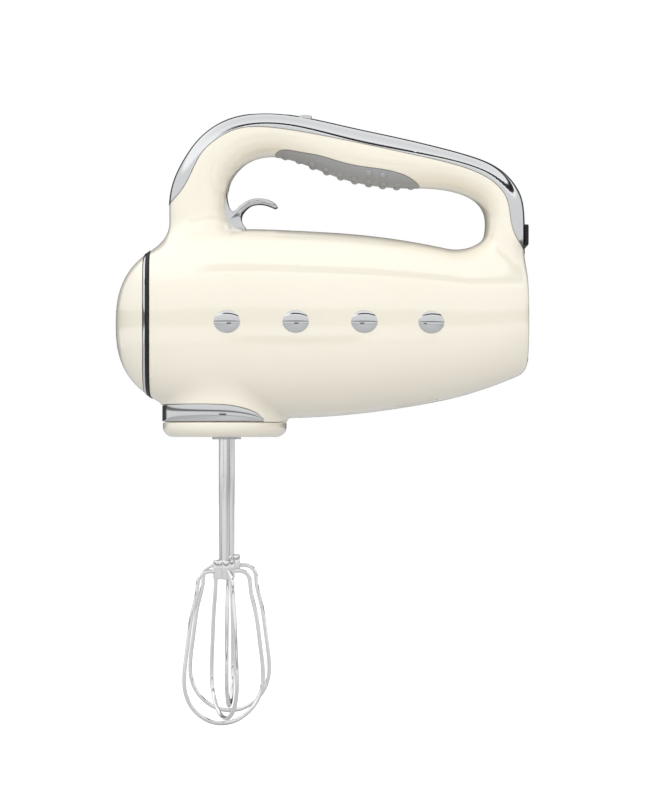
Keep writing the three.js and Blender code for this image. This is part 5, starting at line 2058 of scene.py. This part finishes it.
def scatter_tree(name: str, finish: Finish) -> bpy.types.NodeTree:
    """Geometry Nodes that stand a domed stud on every point, along its normal.

    Args:
        name: the tree's name.
        finish: the studs' material.

    Returns:
        The tree.
    """
    group = NodeGroup(name, "GeometryNodeTree")
    group.socket("Geometry", "Geometry")
    group.socket("Length", "Float", 0.01)
    group.socket("Width", "Float", 0.01)
    group.socket("Rise", "Float", 0.001)
    group.socket("Segments", "Int", 32)
    group.socket("Rings", "Int", 16)
    group.socket("Geometry", "Geometry", out=True)
    group.ends()
    given = group.source.outputs
    stud = group.node(
        "GeometryNodeMeshUVSphere",
        {"Segments": given["Segments"], "Rings": given["Rings"], "Radius": 1.0},
    )
    size = group.node(
        "ShaderNodeCombineXYZ", {0: given["Length"], 1: given["Width"], 2: given["Rise"]}
    )
    normal = group.node("GeometryNodeInputNamedAttribute", {"Name": "stand"}, data_type="FLOAT_VECTOR")
    along = group.node("GeometryNodeInputNamedAttribute", {"Name": "along"}, data_type="FLOAT_VECTOR")
    upright = group.node(
        "FunctionNodeAxesToRotation",
        {"Primary Axis": normal.outputs[0], "Secondary Axis": along.outputs[0]},
        primary_axis="Z",
        secondary_axis="X",
    )
    placed = group.node(
        "GeometryNodeInstanceOnPoints",
        {
            "Points": given["Geometry"],
            "Instance": stud.outputs["Mesh"],
            "Rotation": upright.outputs[0],
            "Scale": size.outputs[0],
        },
    )
    finish_tree(group, placed.outputs[0], finish)
    return group.tree


def finish_tree(group: NodeGroup, shape: bpy.types.NodeSocket, finish: Finish) -> None:
    """Ends a tree with real geometry, smooth faces and a material.

    Args:
        group: the tree's group.
        shape: the socket with the shape.
        finish: its material.
    """
    real = group.node("GeometryNodeRealizeInstances", {0: shape})
    smooth = group.node("GeometryNodeSetShadeSmooth", {"Geometry": real.outputs[0]})
    dressed = group.node(
        "GeometryNodeSetMaterial", {"Geometry": smooth.outputs[0], "Material": finish.material()}
    )
    group.tree.links.new(dressed.outputs[0], group.result.inputs[0])


def grow(piece: bpy.types.Object, tree: bpy.types.NodeTree, **values: float) -> bpy.types.Object:
    """Runs a Geometry Nodes tree on a piece and keeps the result as its plain mesh.

    Args:
        piece: the object that the tree starts from.
        tree: the tree.
        values: its inputs, with _ for a space in their names.

    Returns:
        The same object.
    """
    modifier = piece.modifiers.new("grow", "NODES")
    modifier.node_group = tree
    for item in tree.interface.items_tree:
        key = item.name.replace(" ", "_")
        if item.item_type == "SOCKET" and item.in_out == "INPUT" and key in values:
            modifier[item.identifier] = values[key]
    return freeze(piece)


@dataclass
class Beater:
    """One beater: shaft, four-lobed hub and two crossed wire loops."""

    side: Side
    turn: float
    sides: int = 48
    socket_drop: float = 6.0
    socket_reach: float = 4.7
    lobe_half: float = 2.2
    wire_radius: float = 1.1
    wire_sides: int = 16
    # the ring in the shaft where it clicks in: how far below the top, and how deep
    groove_drop: float = 9.0
    groove_depth: float = 0.45
    bore_gap: float = 0.05
    # half of a loop: share of the cage radius, and share of the depth below the hub's socket
    half_loop: Outline = (
        (0.43, 0), (0.59, 0.022), (0.68, 0.12), (0.79, 0.253), (0.92, 0.48), (1, 0.67),
        (0.986, 0.766), (0.85, 0.867), (0.58, 0.947), (0.28, 0.99),
    )

    def build(self) -> None:
        """Makes the beater's four pieces."""
        name = f"beater_{self.side.name.lower()}"
        body = f"{self.side.name.lower()}_beater"
        low, high = box_mm(f"{name}_shaft")
        centre = (low + high)[:2] / 2
        self.build_shaft(name, body, low, high, centre)
        self.build_hub(name, body, centre)
        loop_low, _ = box_mm(f"{name}_loop_a")
        tree = wire_tree(STAINLESS)
        crossed_low = box_mm(f"{name}_loop_b")[0]
        hub_top = box_mm(f"{name}_hub")[1][2]
        cage = self.cage_radius()
        for part, quarter, lift in (("a", 0, 0.0), ("b", 1, crossed_low[2] - loop_low[2])):
            node = f"{name}_loop_{part}"
            socket = hub_top - self.socket_drop
            bottom = loop_low[2] + self.wire_radius
            turn = self.turn + quarter * math.pi / 2
            path = self.loop_path(centre, turn, socket, bottom, lift, cage)
            line = make_object(node, path, [], tidy=False)
            line.data.edges.add(len(path) - 1)
            ends = np.stack([np.arange(len(path) - 1), np.arange(1, len(path))], axis=1)
            line.data.edges.foreach_set("vertices", ends.ravel())
            grow(line, tree, Wire_Radius=self.wire_radius * MM, Sides=self.wire_sides)
            settle(line, body, STAINLESS, node)

    def cage_radius(self) -> float:
        """Radius of the cage at its widest, to the middle of the wire."""
        low, high = box_mm("beater_right_loop_a")
        return (high[0] - low[0]) / 2 - self.wire_radius

    def loop_path(
        self, centre: Array, turn: float, socket: float, bottom: float, lift: float, cage: float
    ) -> Array:
        """The middle line of a wire loop.

        Args:
            centre: the beater's axis.
            turn: the loop's angle round it.
            socket: height of the wire's ends.
            bottom: height of the lowest point of the lower loop.
            lift: how far this loop's lowest point is lifted.
            cage: the loop's greatest radius.

        Returns:
            Points from one end to the other.
        """
        depth = socket - bottom
        half = [(r * cage, socket - d * depth + lift * d**4) for r, d in self.half_loop]
        half.insert(0, (self.socket_reach, socket))
        flat = [*half, (0, bottom + lift), *((-r, z) for r, z in reversed(half))]
        line = smooth_path(flat, 220)
        along = np.array([math.cos(turn), math.sin(turn)])
        return np.column_stack([centre + line[:, :1] * along, line[:, 1]])

    def build_shaft(self, name: str, body: str, low: Array, high: Array, centre: Array) -> None:
        """The polished shaft, with a round top and a groove where it clicks in.

        Args:
            name: the beater's name.
            body: the CAD body that it rides on.
            low: the shaft's low corner.
            high: its high corner.
            centre: its axis.
        """
        radius = (high[0] - low[0]) / 2
        neck = radius - self.groove_depth
        groove = high[2] - self.groove_drop
        profile = [
            (0, low[2]), (radius, low[2]), (radius, groove - 1.6), (neck, groove - 1),
            (neck, groove + 1), (radius, groove + 1.6), (radius, high[2] - 1.4),
            (radius - 1.2, high[2]), (0, high[2]),
        ]
        shaft = lathe(f"{name}_shaft", fillet_profile(profile, 0.5), Axis.Z, centre, self.sides)
        settle(crease(shaft, 40), body, DRAWN_STAINLESS, f"{name}_shaft")

    def build_hub(self, name: str, body: str, centre: Array) -> None:
        """The four-lobed hub that holds the wires' ends.

        Args:
            name: the beater's name.
            body: the CAD body that it rides on.
            centre: its axis.
        """
        low, high = box_mm(f"{name}_hub")
        straight_low, straight_high = box_mm("beater_right_hub")
        reach = (straight_high - straight_low)[0] / 2
        outline = []
        for quarter in range(4):
            angle = self.turn + quarter * math.pi / 2
            along = np.array([math.cos(angle), math.sin(angle)])
            across = np.array([-along[1], along[0]])
            tip = reach - self.lobe_half
            root, side = along * (self.lobe_half + 0.5), across * (self.lobe_half + 0.15)
            outline.append(centre + (root - side))
            for bend in np.linspace(-np.pi / 2, np.pi / 2, 9):
                spread = self.lobe_half * (along * math.cos(bend) + across * math.sin(bend))
                outline.append(centre + along * tip + spread)
            outline.append(centre + root + side)
        hub = prism(f"{name}_hub", outline, Axis.Z, low[2], high[2], 0.7)
        shaft_low, shaft_high = box_mm(f"{name}_shaft")
        radius = (shaft_high - shaft_low)[0] / 2 + self.bore_gap
        carve(hub, Cut.REMOVE, bar("bore", Axis.Z, radius, low[2] - 2, high[2] + 2, centre))
        settle(crease(hub, 40), body, STAINLESS, f"{name}_hub")


# ---------------------------------------------------------------- studs and grip nubs


def points_on(
    name: str, form: Field, starts: Array, along: Array, sink: float
) -> bpy.types.Object:
    """Points on a field's surface that carry their normals.

    Args:
        name: the object's name.
        form: the field.
        starts: points near the surface.
        along: the direction that each stud's length lies in.
        sink: how far the points lie under the surface.

    Returns:
        An object of loose points.
    """
    points = settle_on(form, starts, reach=3.0, rounds=8)
    normal = unit_rows(gradient(form, points))
    made = make_object(name, points - normal * sink, [], tidy=False)
    for label, rows in (("stand", normal), ("along", along)):
        attribute = made.data.attributes.new(label, "FLOAT_VECTOR", "POINT")
        attribute.data.foreach_set("vector", np.asarray(rows, np.float32).ravel())
    return made


@dataclass
class Studs:
    """The four plain chrome studs on each side of the body."""

    form: CasingForm
    count: int = 4
    half_length: float = 7.0
    rise: float = 2.1
    sink: float = 0.6

    def build(self) -> None:
        """Makes both rows of studs."""
        tree = scatter_tree("stud_row", CHROME)
        for side in Side:
            node = f"badge_{side.name.lower()}"
            low, high = box_mm(node)
            half_height = (high[2] - low[2]) / 2
            xs = np.linspace(low[0] + self.half_length, high[0] - self.half_length, self.count)
            z = (low[2] + high[2]) / 2
            starts = np.array([(x, side.value * (self.form.half_width - 2), z) for x in xs])
            along = np.tile([side.value * -1.0, 0, 0], (len(xs), 1))
            row = points_on(node, self.form.level(0), starts, along, self.sink)
            grow(
                row,
                tree,
                Length=self.half_length * MM,
                Width=half_height * MM,
                Rise=self.rise * MM,
                Segments=48,
                Rings=24,
            )
            settle(row, "mixer_body", CHROME, node)


@dataclass
class GripNubs:
    """The rows of soft nubs on the grip pad."""

    form: CasingForm
    columns: int = 10
    first: float = 31.0
    last: float = 98.0
    angles: Sequence[float] = (-70, -48, -24, 0, 24, 48, 70)
    # least distance from the pad's edge, and the least height of the handle's grip
    margin: float = 1.6
    grip_floor: float = 128.0
    radius: float = 2.0
    rise: float = 1.5
    sink: float = 0.3

    def build(self) -> None:
        """Makes the nubs, in rows under the handle."""
        starts, along = [], []
        line = self.form.line
        edge = Casing(self.form).stretched(Casing.pad_edge)
        pitch = (self.last - self.first) / (self.columns - 1)
        for degrees in self.angles:
            for column in range(self.columns):
                x = float(self.form.along(self.first + column * pitch))
                too_low = line[:, 1] < self.grip_floor
                k = int(np.argmin(np.abs(line[:, 0] - x) + too_low * 99))
                angle = math.radians(degrees)
                depth, width = line[k, 2], line[k, 3]
                z = line[k, 1] - depth * math.cos(angle)
                if z < np.interp(x, edge[:, 0], edge[:, 1]) - self.margin:
                    starts.append((x, width * math.sin(angle), z))
                    along.append((1, 0, 0))
        pad = self.form.level(Casing.pad_rise)
        nubs = points_on("grip_nubs", pad, np.array(starts), np.array(along), self.sink)
        tree = scatter_tree("nub_field", GREY_RUBBER)
        size = self.radius * MM
        grow(nubs, tree, Length=size, Width=size, Rise=self.rise * MM, Segments=20, Rings=12)
        settle(nubs, "mixer_body", GREY_RUBBER)


# ---------------------------------------------------------------- inner pieces


@dataclass(frozen=True)
class Works:
    """The inner pieces that keep their CAD shape and get a finish."""

    finishes: tuple[tuple[Finish, tuple[str, ...]], ...] = (
        (ZINC, ("gearbox_frame", "gearbox_cover", "motor_bracket")),
        (STEEL, ("spindle_left", "spindle_right", "worm_shaft", "middle_bearing",
                 "rear_bearing", "trigger_pin", "trigger_spring")),
        (BRONZE, ("front_bearing", "spindle_bush_left", "spindle_bush_right",
                  "brush_holder_left", "brush_holder_right")),
        (COPPER, ("rotor_winding_front", "rotor_winding_rear", "commutator",
                  "field_coil_left", "field_coil_right")),
        (LAMINATION, ("rotor_core", "stator_core")),
        (CARBON, ("carbon_brush_left", "carbon_brush_right")),
        (NYLON, ("worm_wheel_left", "worm_wheel_right", "ejector_yoke")),
        (BLACK_PLASTIC, ("cooling_fan",)),
        (CIRCUIT_BOARD, ("control_board", "power_board")),
    )

    def dress(self) -> None:
        """Puts each finish on its pieces."""
        for finish, nodes in self.finishes:
            for node in nodes:
                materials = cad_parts[node].data.materials
                materials.clear()
                materials.append(finish.material())
                log.info("%s: %s", node, finish.name)


# ---------------------------------------------------------------- studio


@dataclass
class Studio:
    """Camera, pale floor and soft light."""

    camera_place: tuple[float, float, float] = (0.069, -0.853, 0.0015)
    lens: float = 71.4
    shift: tuple[float, float] = (-0.042, 0.038)

    def build(self) -> None:
        """Sets up the camera, the floor, the world and the lights."""
        scene = bpy.context.scene
        scene.view_settings.view_transform = "Standard"
        data = bpy.data.cameras.new("camera")
        data.lens = self.lens
        data.shift_x, data.shift_y = self.shift
        camera = bpy.data.objects.new("camera", data)
        camera.location = self.camera_place
        camera.rotation_euler = (math.pi / 2, 0, 0)
        scene.collection.objects.link(camera)
        scene.camera = camera
        self.build_floor()
        self.build_world(scene)
        self.add_light("key", (-0.5, -0.9, 1.3), (0.05, 0, 0.06), 1.1, 6)
        self.add_light("fill", (0.5, -1.4, 0.1), (0.05, 0, 0.03), 1.2, 6)
        self.add_light("back", (0.1, 0.7, 1.5), (0.05, 0, 0.08), 0.9, 6)

    def build_floor(self) -> None:
        """A pale round floor just under the beaters."""
        low = CAD_BOX[0][2] / MM - 0.5
        ring = squared_oval(96, 2600, 2600, 2)
        points = np.array([(x + 50, y, low) for x, y in ring])
        floor = make_object("floor", points, [tuple(range(len(points)))])
        made = bpy.data.materials.new("pale_floor")
        made.use_nodes = True
        tree = made.node_tree
        shader = tree.nodes["Principled BSDF"]
        shader.inputs["Base Color"].default_value = (0.56, 0.56, 0.56, 1)
        shader.inputs["Roughness"].default_value = 0.8
        shader.inputs["Emission Color"].default_value = (1, 1, 1, 1)
        seen = add_node(tree, "ShaderNodeLightPath").outputs["Is Camera Ray"]
        glow = add_node(tree, "ShaderNodeMath", {0: seen, 1: 0.75}, operation="MULTIPLY")
        tree.links.new(glow.outputs[0], shader.inputs["Emission Strength"])
        floor.data.materials.append(made)

    def build_world(self, scene: bpy.types.Scene) -> None:
        """A white room with a bright ceiling, a thin dark line round it and a dark far end.

        Args:
            scene: the scene that gets the world.
        """
        world = bpy.data.worlds.new("studio")
        world.use_nodes = True
        scene.world = world
        tree = world.node_tree
        background = tree.nodes["Background"]
        direction = add_node(tree, "ShaderNodeTexCoord").outputs["Generated"]
        split = add_node(tree, "ShaderNodeSeparateXYZ", {0: direction})
        ramp = add_node(tree, "ShaderNodeValToRGB")
        height = add_node(
            tree, "ShaderNodeMapRange", {"Value": split.outputs["Z"], 1: -1.0, 2: 1.0}
        )
        tree.links.new(height.outputs[0], ramp.inputs["Fac"])
        stops = (
            (0.0, 0.72), (0.50, 0.88), (0.522, 0.92), (0.530, 0.20), (0.552, 0.18), (0.562, 0.88),
            (0.745, 0.92), (0.775, 1.3), (0.86, 1.2), (0.93, 1.05), (1.0, 0.95),
        )
        elements = ramp.color_ramp.elements
        elements[0].position, elements[1].position = stops[0][0], stops[-1][0]
        for place, _ in stops[1:-1]:
            elements.new(place)
        for element, (_, value) in zip(elements, stops):
            element.color = (value, value, value, 1)
        seen = add_node(tree, "ShaderNodeLightPath").outputs["Is Camera Ray"]
        behind = add_node(tree, "ShaderNodeMapRange", {"Value": split.outputs["Y"], 1: 0.62, 2: 0.76})
        behind.interpolation_type = "SMOOTHSTEP"
        # a dark strip under the ceiling, left out in front of the nose
        strip = self.band(tree, split.outputs["Z"], 0.645, 0.07)
        ahead = add_node(tree, "ShaderNodeMapRange", {"Value": split.outputs["X"], 1: -0.2, 2: -0.4})
        lit = add_node(tree, "ShaderNodeMath", {0: strip, 1: ahead.outputs[0]}, operation="MAXIMUM")
        # an upright dark strip by the camera, for the streaks in the shafts
        post = self.band(tree, split.outputs["X"], 0.02, 0.10)
        low = self.band(tree, split.outputs["Z"], -0.13, 0.12)
        open_part = add_node(tree, "ShaderNodeMath", {0: post, 1: low}, operation="MAXIMUM")
        both = add_node(
            tree, "ShaderNodeMath", {0: lit.outputs[0], 1: open_part.outputs[0]}, operation="MULTIPLY"
        )
        walls = add_node(
            tree,
            "ShaderNodeMix",
            {"Factor": both.outputs[0], 6: (0.03, 0.03, 0.03, 1), 7: ramp.outputs[0]},
            data_type="RGBA",
        )
        room = add_node(
            tree,
            "ShaderNodeMix",
            {"Factor": behind.outputs[0], 6: walls.outputs[2], 7: (0.06, 0.06, 0.065, 1)},
            data_type="RGBA",
        )
        plain = add_node(
            tree,
            "ShaderNodeMix",
            {"Factor": seen, 6: room.outputs[2], 7: (1, 1, 1, 1)},
            data_type="RGBA",
        )
        tree.links.new(plain.outputs[2], background.inputs["Color"])
        background.inputs["Strength"].default_value = 1.0

    def band(
        self, tree: bpy.types.NodeTree, value: bpy.types.NodeSocket, centre: float, half: float
    ) -> bpy.types.NodeSocket:
        """A mask that is nought within a band of directions and one outside it.

        Args:
            tree: the world's tree.
            value: the direction's X or Z.
            centre: the band's middle.
            half: half of its width.

        Returns:
            The mask's socket.
        """
        away = add_node(tree, "ShaderNodeMath", {0: value, 1: centre}, operation="SUBTRACT")
        size = add_node(tree, "ShaderNodeMath", {0: away.outputs[0]}, operation="ABSOLUTE")
        edge = {"Value": size.outputs[0], 1: half - 0.015, 2: half + 0.015}
        return add_node(tree, "ShaderNodeMapRange", edge).outputs[0]

    def add_light(
        self, name: str, place: Sequence[float], target: Sequence[float], size: float, power: float
    ) -> None:
        """Adds a square soft light.

        Args:
            name: its name.
            place: where it is, in metres.
            target: what it faces.
            size: its side, in metres.
            power: its power in watts.
        """
        data = bpy.data.lights.new(name, "AREA")
        data.size = size
        data.energy = power
        light = bpy.data.objects.new(name, data)
        light.location = place
        aim = Vector(target) - Vector(place)
        light.rotation_euler = aim.to_track_quat("-Z", "Y").to_euler()
        light.visible_glossy = False
        bpy.context.scene.collection.objects.link(light)


def main() -> None:
    """Builds every sub-assembly in order."""
    Studio().build()
    form = make_form()
    Works().dress()
    Casing(form).build()
    Nose(form).build()
    CollarTrim(form).build()
    BaseCap(form).build()
    Controls(form).build()
    Heel().build()
    Trigger().build()
    Studs(form).build()
    GripNubs(form).build()
    Beater(Side.LEFT, math.radians(22.5)).build()
    Beater(Side.RIGHT, 0.0).build()


if __name__ == "__main__":
    main()
